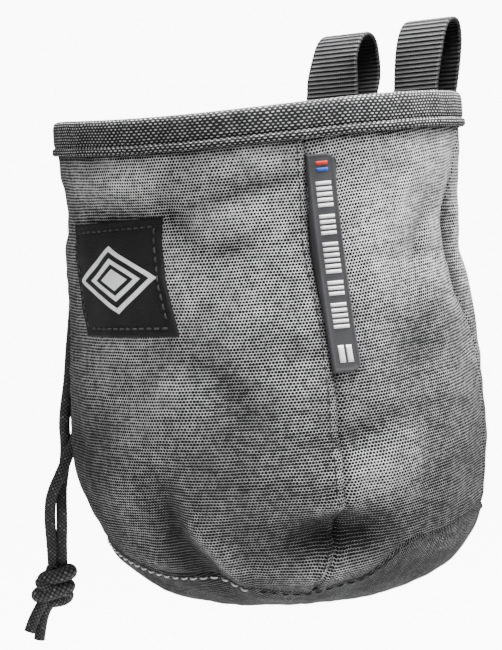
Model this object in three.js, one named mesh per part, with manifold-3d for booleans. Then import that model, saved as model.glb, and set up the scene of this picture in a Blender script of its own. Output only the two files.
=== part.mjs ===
// A climber's chalk bag: a round cloth bag with a soft domed bottom, a stiff woven binding round its
// mouth, two webbing loops for a belt at the back, a woven label, a rubber tag in the side seam, and a
// knotted pair of drawcord strands.
// Millimetres, +Z up, the front toward -Y. The origin is on the belt line, between the two loops.
// Angles are in degrees, counted from the front toward +X. "Down" is measured from the top of the rim.

import * as THREE from "three";
import { mergeVertices } from "three/addons/utils/BufferGeometryUtils.js";
import Module from "manifold-3d";

const wasm = await Module();
wasm.setup();

// Driving sizes
const bodyRadius = 59.6;
const bodyHeight = 141;
const cloth = 1.5;
const seamGap = 0.3;
const seatGap = 0.3;
const bandHeight = 9.7;
const tape = 1.2;
const lipHeight = 2.4;
const lipProud = 0.6;
const webbingWidth = 19;
const webbingThickness = 1.6;
const loopAngle = 15.4;
const loopBelowBand = 8.3;
const loopDepth = 13;
const leftLoopHeight = 23.5;
const rightLoopHeight = 24.4;
const legGap = 0.5;
const beltOut = 7;
const beltUp = 9.5;
const labelWidth = 42.6;
const labelHeight = 32.4;
const labelThickness = 0.9;
const labelAngle = -12.5;
const labelBelowBand = 17.5;
const tagLength = 58.2;
const tagWidth = 8.5;
const tagThickness = 1.5;
const tagCorner = 3;
const tagBelowBand = 4.1;
const cordDiameter = 3;
const eyeletBore = 7.2;
const eyeletWall = 0.8;
const eyeletFlange = 2.1;
const eyeletBed = 0.35;
const eyeletAngle = -84.5;
const eyeletBelowBand = 1;

// How finely each piece is faceted: columns and rows of the sheets, and steps or sides of the rest
const FACETS = {
  front: [24, 24], right: [13, 22], left: [8, 16], back: [15, 14], base: 5, band: 60, loop: 34,
  label: [11, 9], tag: [5, 16], cordSides: 8, eyeletSides: 18,
};

// The wall from the rim down to the middle of the bottom: down as a share of bodyHeight, and the
// distance from the axis as a share of bodyRadius
const PROFILE = [
  { down: 0.0, out: 0.961 }, { down: 0.07, out: 0.961 }, { down: 0.11, out: 0.962 },
  { down: 0.165, out: 0.945 }, { down: 0.225, out: 0.938 }, { down: 0.3, out: 0.948 },
  { down: 0.37, out: 0.96 }, { down: 0.435, out: 0.972 }, { down: 0.5, out: 0.989 },
  { down: 0.56, out: 0.998 }, { down: 0.62, out: 1.0 }, { down: 0.665, out: 1.0 },
  { down: 0.715, out: 0.992 }, { down: 0.77, out: 0.968 }, { down: 0.815, out: 0.938 },
  { down: 0.85, out: 0.908 }, { down: 0.885, out: 0.87 }, { down: 0.915, out: 0.815 },
  { down: 0.945, out: 0.73 }, { down: 0.97, out: 0.61 }, { down: 0.987, out: 0.45 },
  { down: 0.997, out: 0.23 }, { down: 1.0, out: 0.0 },
];

// How far the section's centre lies to one side, as a share of bodyRadius, toward swayAngle
const swayAngle = 127.8;
const SWAY = [
  { down: 0.0, shift: 0.0 }, { down: 0.15, shift: 0.0 }, { down: 0.28, shift: -0.02 },
  { down: 0.45, shift: 0.0 }, { down: 0.7, shift: 0.0 }, { down: 0.86, shift: 0.036 },
  { down: 1.0, shift: 0.05 },
];

// The rim isn't level: waves round it, each with its height as a share of bodyRadius, and how far
// down their effect reaches as a share of bodyHeight
const RIM_WAVES = [
  { waves: 1, height: 0.02, crest: 75 },
  { waves: 2, height: 0.0134, crest: 120 },
  { waves: 3, height: 0.0076, crest: 68 },
];
const rimWaveReach = 0.21;

// Folds, dents and bulges. Each is a soft ridge (height above 0) or valley (below 0): its middle by
// angle and down, its turn from level, and its half length, half width and height as shares of bodyRadius
const FOLDS = [
  { angle: -8, down: 0.195, turn: 3, length: 0.32, width: 0.084, height: -0.044 },
  { angle: -8, down: 0.113, turn: 0, length: 0.3, width: 0.07, height: 0.013 },
  { angle: -14, down: 0.27, turn: 0, length: 0.3, width: 0.17, height: -0.02 },
  { angle: 14, down: 0.209, turn: -42, length: 0.134, width: 0.057, height: -0.034 },
  { angle: 29, down: 0.262, turn: 0, length: 0.15, width: 0.057, height: -0.032 },
  { angle: 28, down: 0.202, turn: 8, length: 0.25, width: 0.06, height: 0.02 },
  { angle: 35, down: 0.148, turn: 9, length: 0.2, width: 0.045, height: -0.025 },
  { angle: 40, down: 0.355, turn: 65, length: 0.134, width: 0.084, height: -0.013 },
  { angle: 34, down: 0.475, turn: 65, length: 0.134, width: 0.084, height: -0.013 },
  { angle: 24, down: 0.532, turn: -46, length: 0.25, width: 0.1, height: -0.026 },
  { angle: 8, down: 0.582, turn: 0, length: 0.22, width: 0.15, height: 0.017 },
  { angle: 46, down: 0.546, turn: 0, length: 0.17, width: 0.084, height: 0.013 },
  { angle: 3, down: 0.773, turn: 78, length: 0.22, width: 0.1, height: -0.04 },
  { angle: 9, down: 0.88, turn: -50, length: 0.17, width: 0.084, height: -0.044 },
  { angle: 16, down: 0.851, turn: -62, length: 0.2, width: 0.067, height: 0.027 },
  { angle: 50, down: 0.812, turn: 4, length: 0.22, width: 0.077, height: -0.077 },
  { angle: 46, down: 0.894, turn: 6, length: 0.25, width: 0.07, height: 0.03 },
  { angle: 51, down: 0.734, turn: 0, length: 0.084, width: 0.034, height: -0.015 },
  { angle: 51, down: 0.766, turn: 0, length: 0.084, width: 0.037, height: 0.015 },
  { angle: 61, down: 0.62, turn: 14, length: 0.2, width: 0.07, height: -0.032 },
  { angle: 69, down: 0.695, turn: 80, length: 0.2, width: 0.15, height: 0.03 },
  { angle: 88, down: 0.27, turn: 62, length: 0.17, width: 0.05, height: -0.023 },
  { angle: 78, down: 0.206, turn: 60, length: 0.23, width: 0.117, height: 0.02 },
  { angle: 80, down: 0.468, turn: 40, length: 0.184, width: 0.117, height: -0.022 },
  { angle: 113, down: 0.3, turn: 88, length: 0.285, width: 0.134, height: -0.092 },
  { angle: 128, down: 0.312, turn: 90, length: 0.33, width: 0.134, height: 0.013 },
  { angle: -118, down: 0.55, turn: 75, length: 0.3, width: 0.12, height: -0.025 },
  { angle: 178, down: 0.6, turn: 20, length: 0.35, width: 0.12, height: -0.025 },
  { angle: -150, down: 0.74, turn: -30, length: 0.28, width: 0.1, height: -0.03 },
  { angle: 150, down: 0.78, turn: 25, length: 0.25, width: 0.1, height: -0.03 },
];
const foldFadeFrom = 0.35;
const foldFadeOver = 0.3;

// The seam in the front right, where the tag is sewn in, wanders a little; the others run straight
const TAG_SEAM = [
  { down: 0.0, angle: 49.5 }, { down: 0.1, angle: 50 }, { down: 0.5, angle: 53 },
  { down: 0.8, angle: 54 }, { down: 0.9, angle: 49.5 }, { down: 1.0, angle: 43 },
];
const LEFT_SEAM = [{ down: 0, angle: -53 }];
const RIGHT_BACK_SEAM = [{ down: 0, angle: 114 }];
const LEFT_BACK_SEAM = [{ down: 0, angle: -114 }];
const RIGHT_BACK_SEAM_ROUND = [{ down: 0, angle: RIGHT_BACK_SEAM[0].angle - 360 }];

// The seam between the wall and the bottom panel hangs lower at the front right
const BASE_SEAM = [
  { angle: -180, down: 0.835 }, { angle: -95, down: 0.838 }, { angle: -52, down: 0.845 },
  { angle: 0, down: 0.895 }, { angle: 40, down: 0.935 }, { angle: 56, down: 0.915 },
  { angle: 76, down: 0.845 }, { angle: 110, down: 0.825 }, { angle: 180, down: 0.835 },
];

// The label's corners, pulled askew by the folds: across from its middle and down from its top, as
// shares of its width and height
const LABEL_CORNERS = {
  topLeft: { across: -0.5, down: 0.057 }, topRight: { across: 0.5, down: 0 },
  bottomLeft: { across: -0.268, down: 1 }, bottomRight: { across: 0.61, down: 1 },
};

// Both loops' middle lines above the band, seen from the side: out from the band's face as a share of
// loopDepth, and up from the rim as a share of the loop's height. The first is a teardrop, the second
// has nearly parallel sides. Turns are the strap's own, in degrees from level at X.
const LOOPS = [
  {
    name: "belt_loop_left", side: -1, height: leftLoopHeight, lean: 0.11, slide: 0.1,
    turns: [{ up: -0.3, turn: loopAngle }, { up: 0.3, turn: 1 }, { up: 0.76, turn: -8 }],
    path: [
      { out: 0.154, up: -0.204 }, { out: 0.131, up: 0 }, { out: 0.069, up: 0.255 },
      { out: 0.031, up: 0.51 }, { out: 0.069, up: 0.745 }, { out: 0.223, up: 0.929 },
      { out: 0.477, up: 1 }, { out: 0.754, up: 0.939 }, { out: 0.938, up: 0.765 },
      { out: 1, up: 0.541 }, { out: 0.938, up: 0.286 }, { out: 0.754, up: 0.031 },
      { out: 0.523, up: -0.255 }, { out: 0.338, up: -0.51 },
    ],
  },
  {
    name: "belt_loop_right", side: 1, height: rightLoopHeight, lean: 0.13, slide: 0.1,
    turns: [{ up: -0.28, turn: -loopAngle }, { up: 0.14, turn: -12.5 }, { up: 0.7, turn: -8 }],
    path: [
      { out: 0.154, up: -0.187 }, { out: 0.131, up: 0 }, { out: 0.092, up: 0.28 },
      { out: 0.092, up: 0.561 }, { out: 0.138, up: 0.804 }, { out: 0.277, up: 0.958 },
      { out: 0.492, up: 1 }, { out: 0.708, up: 0.949 }, { out: 0.846, up: 0.785 },
      { out: 0.908, up: 0.537 }, { out: 0.938, up: 0.262 }, { out: 0.877, up: 0 },
      { out: 0.631, up: -0.28 }, { out: 0.369, up: -0.495 },
    ],
  },
];

// The drawcord's two strands, from the eyelet to the knot, in the bag's frame (x, y, z from the rim)
const CORD_ROUTES = {
  drawcord_strand_1: [
    [-55.8, -3.6, -17.5], [-58.3, -3.9, -17.6], [-61.0, -4.2, -18.2], [-63.4, -4.7, -20.6],
    [-64.4, -5.7, -24.8], [-63.9, -7.4, -30.6], [-62.9, -9.7, -38.0], [-61.9, -12.4, -47.0],
    [-61.0, -15.5, -57.0], [-60.3, -18.7, -67.0], [-59.9, -21.0, -76.0], [-59.3, -22.2, -84.0],
    [-57.8, -23.3, -88.8], [-57.1, -25.2, -92.7], [-58.2, -27.1, -96.6], [-59.3, -28.5, -100.3],
    [-60.5, -30.1, -104.0], [-61.6, -31.2, -107.0], [-62.7, -31.9, -110.4], [-63.6, -32.0, -114.2],
    [-64.2, -32.0, -118.4], [-64.3, -32.0, -124.1], [-64.2, -32.0, -130.5],
  ],
  drawcord_strand_2: [
    [-55.5, -7.1, -17.5], [-58.0, -7.4, -17.6], [-60.7, -7.7, -18.2], [-63.0, -8.2, -20.6],
    [-64.0, -9.2, -24.8], [-63.3, -10.9, -30.6], [-62.2, -13.2, -38.0], [-61.0, -15.9, -47.0],
    [-59.9, -19.0, -57.0], [-59.1, -22.2, -67.0], [-58.7, -24.6, -76.0], [-59.5, -26.1, -84.0],
    [-60.6, -25.9, -89.2], [-61.0, -25.5, -92.7], [-61.5, -25.2, -96.6], [-61.8, -25.7, -100.3],
    [-62.0, -26.6, -104.0], [-62.2, -27.3, -107.0], [-62.0, -28.0, -110.4], [-61.7, -28.5, -114.7],
    [-61.6, -28.7, -118.8], [-61.8, -29.0, -124.5], [-62.1, -29.4, -130.8],
  ],
};

// The knot that ends the strands: two slanting wraps round a core, and two cut ends. Places are in the
// same frame as the routes, and radii are in cord diameters. The wraps face the direction turn.
const KNOT = {
  wraps: [
    { centre: [-63.2, -31.2, -133.6], across: 1.43, deep: 0.97, tilt: 14 },
    { centre: [-64.2, -32.3, -137.7], across: 1.63, deep: 0.97, tilt: 13 },
  ],
  core: { centre: [-63.8, -31.8, -135.8], radii: [1.4, 1, 1.67] },
  ends: [
    [[-65.4, -34.2, -138.6], [-67.2, -36.4, -143.4], [-68.4, -37.6, -146.4], [-69.3, -38.6, -149.4]],
    [[-62.0, -30.6, -137.4], [-65.0, -32.6, -141.2], [-67.2, -33.6, -145.2], [-69.0, -34.6, -152.4]],
  ],
  cordSwell: 1.12,
  turn: 37.8,
};

const radians = THREE.MathUtils.degToRad;
const { lerp, smoothstep } = THREE.MathUtils;

// A closed solid from shared vertices; its faces are turned round if they point inwards
function closedGeometry(points, triangles) {
  let volume = 0;
  for (const [a, b, c] of triangles) {
    volume += points[a].dot(new THREE.Vector3().crossVectors(points[b], points[c]));
  }
  const turned = volume < 0 ? triangles.map(([a, b, c]) => [a, c, b]) : triangles;
  const geometry = new THREE.BufferGeometry();
  const flat = points.flatMap((p) => [p.x, p.y, p.z]);
  geometry.setAttribute("position", new THREE.Float32BufferAttribute(flat, 3));
  geometry.setIndex(turned.flat());
  return geometry;
}

// A sheet with thickness: two like grids of points, front and back, joined along their open edges.
// ring closes the columns on each other; pole makes the last row one point
function sheetGeometry(front, back, { ring = false, pole = false } = {}) {
  const points = [];
  const number = (grid) => grid.map((row, i) => {
    if (!pole || i < grid.length - 1) {
      return row.map((p) => points.push(p) - 1);
    }
    const last = points.push(row[0]) - 1;
    return row.map(() => last);
  });
  const faces = [number(front), number(back)];
  const rows = front.length - 1;
  const columns = front[0].length - (ring ? 0 : 1);
  const next = (j) => (ring ? (j + 1) % front[0].length : j + 1);
  const triangles = [];
  const quad = (a, b, c, d) => {
    if (a !== b) {
      triangles.push([a, b, c]);
    }
    if (c !== d) {
      triangles.push([a, c, d]);
    }
  };
  for (let i = 0; i < rows; i += 1) {
    for (let j = 0; j < columns; j += 1) {
      const [f, b] = faces;
      quad(f[i][j], f[i][next(j)], f[i + 1][next(j)], f[i + 1][j]);
      quad(b[i + 1][j], b[i + 1][next(j)], b[i][next(j)], b[i][j]);
    }
  }
  const edge = (run) => {
    for (let k = 0; k + 1 < run.length; k += 1) {
      const [[i, j], [m, n]] = [run[k], run[k + 1]];
      quad(faces[0][m][n], faces[0][i][j], faces[1][i][j], faces[1][m][n]);
    }
  };
  const across = [...Array(columns + 1).keys()].map((j) => (ring ? j % front[0].length : j));
  const down = [...Array(rows + 1).keys()];
  edge(across.map((j) => [0, j]));
  if (!pole) {
    edge(across.map((j) => [rows, j]).reverse());
  }
  if (!ring) {
    edge(down.map((i) => [i, 0]).reverse());
    edge(down.map((i) => [i, columns]));
  }
  return closedGeometry(points, triangles);
}

// A bar swept along a run of frames: every frame is a closed outline of points; loop joins the ends
function sweptGeometry(outlines, loop) {
  const sides = outlines[0].length;
  const points = outlines.flat();
  const triangles = [];
  const steps = outlines.length - (loop ? 0 : 1);
  for (let i = 0; i < steps; i += 1) {
    const a = i * sides;
    const b = ((i + 1) % outlines.length) * sides;
    for (let j = 0; j < sides; j += 1) {
      const k = (j + 1) % sides;
      triangles.push([a + j, a + k, b + k], [a + j, b + k, b + j]);
    }
  }
  return closedGeometry(points, triangles);
}

function toManifold(geometry) {
  const bare = geometry.clone();
  bare.deleteAttribute("normal");
  bare.deleteAttribute("uv");
  const merged = mergeVertices(bare, 1e-4);
  return new wasm.Manifold(new wasm.Mesh({
    numProp: 3,
    vertProperties: new Float32Array(merged.attributes.position.array),
    triVerts: new Uint32Array(merged.index.array),
  }));
}

function fromManifold(solid) {
  const mesh = solid.getMesh();
  const geometry = new THREE.BufferGeometry();
  geometry.setAttribute("position", new THREE.Float32BufferAttribute(mesh.vertProperties, 3));
  geometry.setIndex([...mesh.triVerts]);
  return geometry;
}

// Value of a short table at x, smoothly blended between its rows
function blend(rows, key, value, x) {
  if (x <= rows[0][key]) {
    return rows[0][value];
  }
  for (let i = 0; i + 1 < rows.length; i += 1) {
    if (x <= rows[i + 1][key]) {
      return lerp(rows[i][value], rows[i + 1][value], smoothstep(x, rows[i][key], rows[i + 1][key]));
    }
  }
  return rows[rows.length - 1][value];
}

// Wrap an angle in degrees into -180 to 180
const wrap = (angle) => THREE.MathUtils.euclideanModulo(angle + 180, 360) - 180;

const profile = new THREE.SplineCurve(
  PROFILE.map((row) => new THREE.Vector2(row.down * bodyHeight, row.out * bodyRadius)),
);
profile.arcLengthDivisions = 600;
const profileLength = profile.getLength();
const seamShare = seamGap / 2 / profileLength;

// The share of the profile's length at which the wall has come this far down
function shareAt(down) {
  let [low, high] = [0, 1];
  for (let i = 0; i < 40; i += 1) {
    const middle = (low + high) / 2;
    if (profile.getPointAt(middle).x < down) {
      low = middle;
    } else {
      high = middle;
    }
  }
  return (low + high) / 2;
}

// A point of the bag's wall: angle round the axis, share of the profile from rim to bottom, and how far
// it stands off the cloth's outer face
function wallPoint(angle, share, off = 0) {
  const held = THREE.MathUtils.clamp(share, 0, 1);
  const at = profile.getPointAt(held);
  const along = profile.getTangentAt(THREE.MathUtils.clamp(held, 0.001, 0.999));
  const [down, out] = [at.x, at.y];
  let push = 0;
  for (const fold of FOLDS) {
    const a = radians(wrap(angle - fold.angle)) * bodyRadius;
    const h = fold.down * bodyHeight - down;
    const [c, s] = [Math.cos(radians(fold.turn)), Math.sin(radians(fold.turn))];
    const lengthwise = (a * c + h * s) / (fold.length * bodyRadius);
    const crosswise = (h * c - a * s) / (fold.width * bodyRadius);
    push += fold.height * bodyRadius * Math.exp(-lengthwise * lengthwise - crosswise * crosswise);
  }
  push *= smoothstep(out / bodyRadius, foldFadeFrom, foldFadeFrom + foldFadeOver);
  const reach = down / (rimWaveReach * bodyHeight);
  const rise = RIM_WAVES.reduce((sum, wave) => sum
    + wave.height * bodyRadius * Math.cos(radians(wave.waves * (angle - wave.crest))), 0)
    * Math.exp(-reach * reach);
  const shift = blend(SWAY, "down", "shift", down / bodyHeight) * bodyRadius;
  const distance = out + along.x * (push + off);
  return new THREE.Vector3(
    distance * Math.sin(radians(angle)) + shift * Math.sin(radians(swayAngle)),
    -distance * Math.cos(radians(angle)) - shift * Math.cos(radians(swayAngle)),
    -down + along.y * (push + off) + rise,
  );
}

// The wall's own outward direction at a point, from its neighbours
function wallNormal(angle, share) {
  const step = 0.004;
  const round = wallPoint(angle + 1, share).sub(wallPoint(angle - 1, share));
  const down = wallPoint(angle, share + step).sub(wallPoint(angle, share - step));
  return round.cross(down).normalize().negate();
}

const topShare = (tape + seatGap) / profileLength;
const baseShare = (angle) => shareAt(blend(BASE_SEAM, "angle", "down", wrap(angle)) * bodyHeight);
const seamAngle = (seam, share) => blend(seam, "down", "angle", share);

// A wall panel: its two seams, and its grid of outer points, which what lies on it is seated on
function makePanel(left, right, columns, rows) {
  const place = (u, v) => {
    const trim = THREE.MathUtils.radToDeg(seamGap / 2 / bodyRadius);
    const angle = lerp(seamAngle(left, v) + trim, seamAngle(right, v) - trim, u);
    return { angle, share: lerp(topShare, baseShare(angle) - seamShare, v) };
  };
  const grid = (off) => [...Array(rows + 1).keys()].map((i) => [...Array(columns + 1).keys()].map((j) => {
    const { angle, share } = place(j / columns, i / rows);
    return wallPoint(angle, share, off);
  }));
  const outer = grid(0);
  // A point on the panel's own facets, raised by off along them
  const seat = (angle, share, off) => {
    const v = (share - topShare) / (baseShare(angle) - seamShare - topShare);
    const from = place(0, v).angle;
    const u = (angle - from) / (place(1, v).angle - from);
    const i = THREE.MathUtils.clamp(Math.floor(v * rows), 0, rows - 1);
    const j = THREE.MathUtils.clamp(Math.floor(u * columns), 0, columns - 1);
    const [s, t] = [u * columns - j, v * rows - i];
    const top = outer[i][j].clone().lerp(outer[i][j + 1], s);
    const bottom = outer[i + 1][j].clone().lerp(outer[i + 1][j + 1], s);
    const upperSide = outer[i][j + 1].clone().sub(outer[i][j]);
    const lowerSide = outer[i + 1][j + 1].clone().sub(outer[i + 1][j]);
    const normal = bottom.clone().sub(top).cross(upperSide.lerp(lowerSide, t)).normalize();
    return top.lerp(bottom, t).addScaledVector(normal, off);
  };
  const footAngles = [...Array(columns).keys()].map((j) => place(j / columns, 1).angle);
  return { geometry: sheetGeometry(outer, grid(-cloth)), seat, footAngles };
}

// The bottom panel: rings from the base seam in to the middle, in line with the wall panels' columns
function makeBase(panels, rows) {
  const angles = panels.flatMap((panel) => panel.footAngles);
  const grid = (off) => [...Array(rows + 1).keys()].map((i) => angles.map((angle) => (
    wallPoint(angle, lerp(baseShare(angle) + seamShare, 1, i / rows), off))));
  return sheetGeometry(grid(0), grid(-cloth), { ring: true, pole: true });
}

// The binding: a tape folded over the cloth's edge, with a lip along its lower outside edge
function makeBand(steps) {
  const inside = -(cloth + seatGap);
  const outside = seatGap + tape;
  const groove = outside - tape / 4;
  const lipTop = bandHeight - lipHeight;
  const section = [
    [inside - tape, bandHeight], [inside - tape, tape], [inside, 0], [seatGap, 0], [outside, tape],
    [outside, lipTop - tape / 2], [groove, lipTop], [outside + lipProud, lipTop + tape / 3],
    [outside + lipProud, bandHeight], [seatGap, bandHeight], [seatGap, tape], [inside, tape],
    [inside, bandHeight],
  ];
  const outlines = [...Array(steps).keys()].map((i) => section.map(([off, down]) => (
    wallPoint((360 * i) / steps, down / profileLength, off))));
  return sweptGeometry(outlines, true);
}

// A patch of one panel, with its underside seated on the panel's facets
function makePatch(panel, place, columns, rows, thickness) {
  const grid = (off) => [...Array(rows + 1).keys()].map((i) => [...Array(columns + 1).keys()].map((j) => {
    const { angle, share } = place(j / columns, i / rows);
    return panel.seat(angle, share, off);
  }));
  return sheetGeometry(grid(seatGap + thickness), grid(seatGap));
}

function labelPlace(u, v) {
  const { topLeft, topRight, bottomLeft, bottomRight } = LABEL_CORNERS;
  const top = (key) => lerp(topLeft[key], topRight[key], u);
  const bottom = (key) => lerp(bottomLeft[key], bottomRight[key], u);
  const mix = (key) => lerp(top(key), bottom(key), v);
  const angle = labelAngle + THREE.MathUtils.radToDeg((mix("across") * labelWidth) / bodyRadius);
  return { angle, share: shareAt(bandHeight + labelBelowBand + mix("down") * labelHeight) };
}

// The tag starts at the seam and has round corners on its free side
function tagPlace(u, v) {
  const across = u * tagWidth;
  const beyond = Math.max(0, across - (tagWidth - tagCorner));
  const cut = tagCorner - Math.sqrt(tagCorner * tagCorner - beyond * beyond);
  const top = bandHeight + tagBelowBand;
  const share = shareAt(lerp(top + cut, top + tagLength - cut, v));
  const seam = seamAngle(TAG_SEAM, share);
  return { angle: seam + THREE.MathUtils.radToDeg((across + seamGap) / bodyRadius), share };
}

// A loop's whole middle line: the inner leg lies on the cloth and steps over the band's lip, and the
// outer leg comes back down on it
function loopLine(loop) {
  const reach = loop.height - webbingThickness / 2;
  const tail = bandHeight + loopBelowBand;
  const seat = webbingThickness / 2 - tape;
  const overLip = lipProud + webbingThickness / 2 + legGap;
  const outerSeat = seat + webbingThickness + legGap;
  const path = [
    [seat, -tail], [seat, -lerp(bandHeight, tail, 0.47)],
    [lerp(seat, overLip, 0.57), -lerp(bandHeight, tail, 0.16)], [overLip, lipHeight / 2 - bandHeight],
    ...loop.path.map(({ out, up }) => [out * loopDepth, up * reach]),
    [outerSeat + legGap, -lerp(bandHeight, tail, 0.49)], [outerSeat, -tail],
  ];
  return new THREE.SplineCurve(path.map(([out, up]) => new THREE.Vector2(out, up)));
}

// A webbing loop: its middle line in its own plane, the strap's width turning a little on its way up
function makeLoop(loop, steps) {
  const line = loopLine(loop);
  const angle = 180 - loop.side * loopAngle;
  const rim = wallPoint(angle, 0, seatGap + tape);
  const grid = (off) => [...Array(steps + 1).keys()].map((i) => {
    const at = line.getPointAt(i / steps);
    const along = line.getTangentAt(i / steps);
    const out = at.x + along.y * off;
    const up = at.y - along.x * off;
    const turn = radians(blend(loop.turns, "up", "turn", at.y / loop.height));
    const rise = Math.max(0, up);
    const middle = new THREE.Vector3(rim.x + loop.slide * rise, rim.y + out + loop.lean * rise, rim.z + up);
    const width = new THREE.Vector3(Math.cos(turn), Math.sin(turn), 0);
    return [-0.5, 0.5].map((share) => middle.clone().addScaledVector(width, share * webbingWidth));
  });
  return sheetGeometry(grid(webbingThickness / 2), grid(-webbingThickness / 2));
}

// A round cord along a smooth curve through the given points
function cordGeometry(points) {
  const curve = new THREE.CatmullRomCurve3(points.map((p) => new THREE.Vector3(...p)));
  const sides = FACETS.cordSides;
  const shape = new THREE.Shape([...Array(sides).keys()].map((k) => new THREE.Vector2(
    (cordDiameter / 2) * Math.cos((2 * Math.PI * k) / sides),
    (cordDiameter / 2) * Math.sin((2 * Math.PI * k) / sides),
  )));
  const steps = Math.max(6, Math.round(curve.getLength() / (2.2 * cordDiameter)));
  const extruded = new THREE.ExtrudeGeometry(shape, { extrudePath: curve, steps });
  extruded.deleteAttribute("normal");
  extruded.deleteAttribute("uv");
  return mergeVertices(extruded, 1e-4);
}

// The eyelet: a tube through the wall with a flange on each side, turned round the wall's own direction
function makeEyelet() {
  const inner = eyeletBore / 2;
  const barrel = inner + eyeletWall;
  const flange = barrel + eyeletFlange;
  const sag = (flange * flange) / (2 * bodyRadius);
  const inFace = -(cloth + seatGap + sag + eyeletBed);
  const outFace = seatGap + eyeletBed;
  const rows = [
    [inner, inFace - eyeletWall], [flange, inFace - eyeletWall], [flange, inFace], [barrel, inFace],
    [barrel, outFace], [flange, outFace], [flange, outFace + eyeletWall / 2],
    [flange - eyeletWall / 2, outFace + eyeletWall], [inner, outFace + eyeletWall],
    [inner, inFace - eyeletWall],
  ];
  const lathe = new THREE.LatheGeometry(rows.map(([r, h]) => new THREE.Vector2(r, h)), FACETS.eyeletSides);
  lathe.deleteAttribute("normal");
  lathe.deleteAttribute("uv");
  const down = bandHeight + flange + eyeletBelowBand;
  return { geometry: mergeVertices(lathe, 1e-4), hole: barrel + seatGap, down };
}

// Wraps, core and ends of the knot, joined into one solid
function makeKnot() {
  const thick = cordDiameter * KNOT.cordSwell;
  const parts = KNOT.wraps.map(({ centre, across, deep, tilt }) => {
    const ring = new THREE.TorusGeometry(across * cordDiameter, thick / 2, 7, 15);
    ring.scale(1, deep / across, 1);
    ring.rotateY(radians(-tilt));
    ring.rotateZ(radians(KNOT.turn));
    ring.translate(...centre);
    return toManifold(ring);
  });
  const core = new THREE.SphereGeometry(cordDiameter, 10, 7);
  core.rotateX(Math.PI / 2);
  core.scale(...KNOT.core.radii);
  core.rotateZ(radians(KNOT.turn));
  core.translate(...KNOT.core.centre);
  parts.push(toManifold(core));
  for (const end of KNOT.ends) {
    parts.push(toManifold(cordGeometry(end)));
  }
  return fromManifold(parts.reduce((sum, part) => sum.add(part)));
}

const MATERIALS = {
  cloth: { color: 0x6a6a6a, roughness: 0.95, metalness: 0 },
  binding: { color: 0x2c2c2e, roughness: 0.9, metalness: 0 },
  webbing: { color: 0x3a3a3c, roughness: 0.85, metalness: 0 },
  label: { color: 0x0d0d0e, roughness: 0.8, metalness: 0 },
  rubber: { color: 0x5a5a5c, roughness: 0.6, metalness: 0 },
  cord: { color: 0x1a1a1b, roughness: 0.8, metalness: 0 },
  eyelet: { color: 0x222224, roughness: 0.4, metalness: 0.6 },
};

const bag = new THREE.Group();

function addPiece(name, geometry, material) {
  const mesh = new THREE.Mesh(geometry, new THREE.MeshStandardMaterial(MATERIALS[material]));
  mesh.name = name;
  bag.add(mesh);
  return mesh;
}

const frontPanel = makePanel(LEFT_SEAM, TAG_SEAM, ...FACETS.front);
const rightPanel = makePanel(TAG_SEAM, RIGHT_BACK_SEAM, ...FACETS.right);
const leftPanel = makePanel(LEFT_BACK_SEAM, LEFT_SEAM, ...FACETS.left);
const backPanel = makePanel(RIGHT_BACK_SEAM_ROUND, LEFT_BACK_SEAM, ...FACETS.back);

addPiece("front_panel", frontPanel.geometry, "cloth");
addPiece("right_side_panel", rightPanel.geometry, "cloth");
addPiece("back_panel", backPanel.geometry, "cloth");
addPiece("base_panel", makeBase([backPanel, leftPanel, frontPanel, rightPanel], FACETS.base), "cloth");
addPiece("rim_band", makeBand(FACETS.band), "binding");

const eyelet = makeEyelet();
const eyeletShare = shareAt(eyelet.down);
const eyeletAt = wallPoint(eyeletAngle, eyeletShare);
const eyeletOut = wallNormal(eyeletAngle, eyeletShare);
const upright = new THREE.Quaternion().setFromUnitVectors(new THREE.Vector3(0, 1, 0), eyeletOut);
const drill = new THREE.CylinderGeometry(eyelet.hole, eyelet.hole, cloth * 6, FACETS.eyeletSides);
drill.applyQuaternion(upright);
drill.translate(...eyeletAt);
addPiece("left_side_panel", fromManifold(toManifold(leftPanel.geometry).subtract(toManifold(drill))), "cloth");
const eyeletMesh = addPiece("cord_eyelet", eyelet.geometry, "eyelet");
eyeletMesh.quaternion.copy(upright);
eyeletMesh.position.copy(eyeletAt);

for (const loop of LOOPS) {
  addPiece(loop.name, makeLoop(loop, FACETS.loop), "webbing");
}
addPiece("woven_label", makePatch(frontPanel, labelPlace, ...FACETS.label, labelThickness), "label");
addPiece("seam_tag", makePatch(rightPanel, tagPlace, ...FACETS.tag, tagThickness), "rubber");
for (const [name, route] of Object.entries(CORD_ROUTES)) {
  addPiece(name, cordGeometry(route), "cord");
}
addPiece("drawcord_knot", makeKnot(), "cord");

// The belt line, which runs through both loops, becomes the origin
const behind = wallPoint(180 - loopAngle, 0, seatGap + tape);
bag.position.set(0, -(behind.y + beltOut), -beltUp);

const object = new THREE.Group();
object.add(bag);

export default object;
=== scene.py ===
"""A climber's chalk bag in its full finish: cloth, binding, webbing, label, tag, stitching and drawcord."""

import math

import bpy
import numpy as np
from bpy.props import FloatProperty, FloatVectorProperty, IntProperty, PointerProperty
from mathutils import Matrix, Vector


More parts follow.
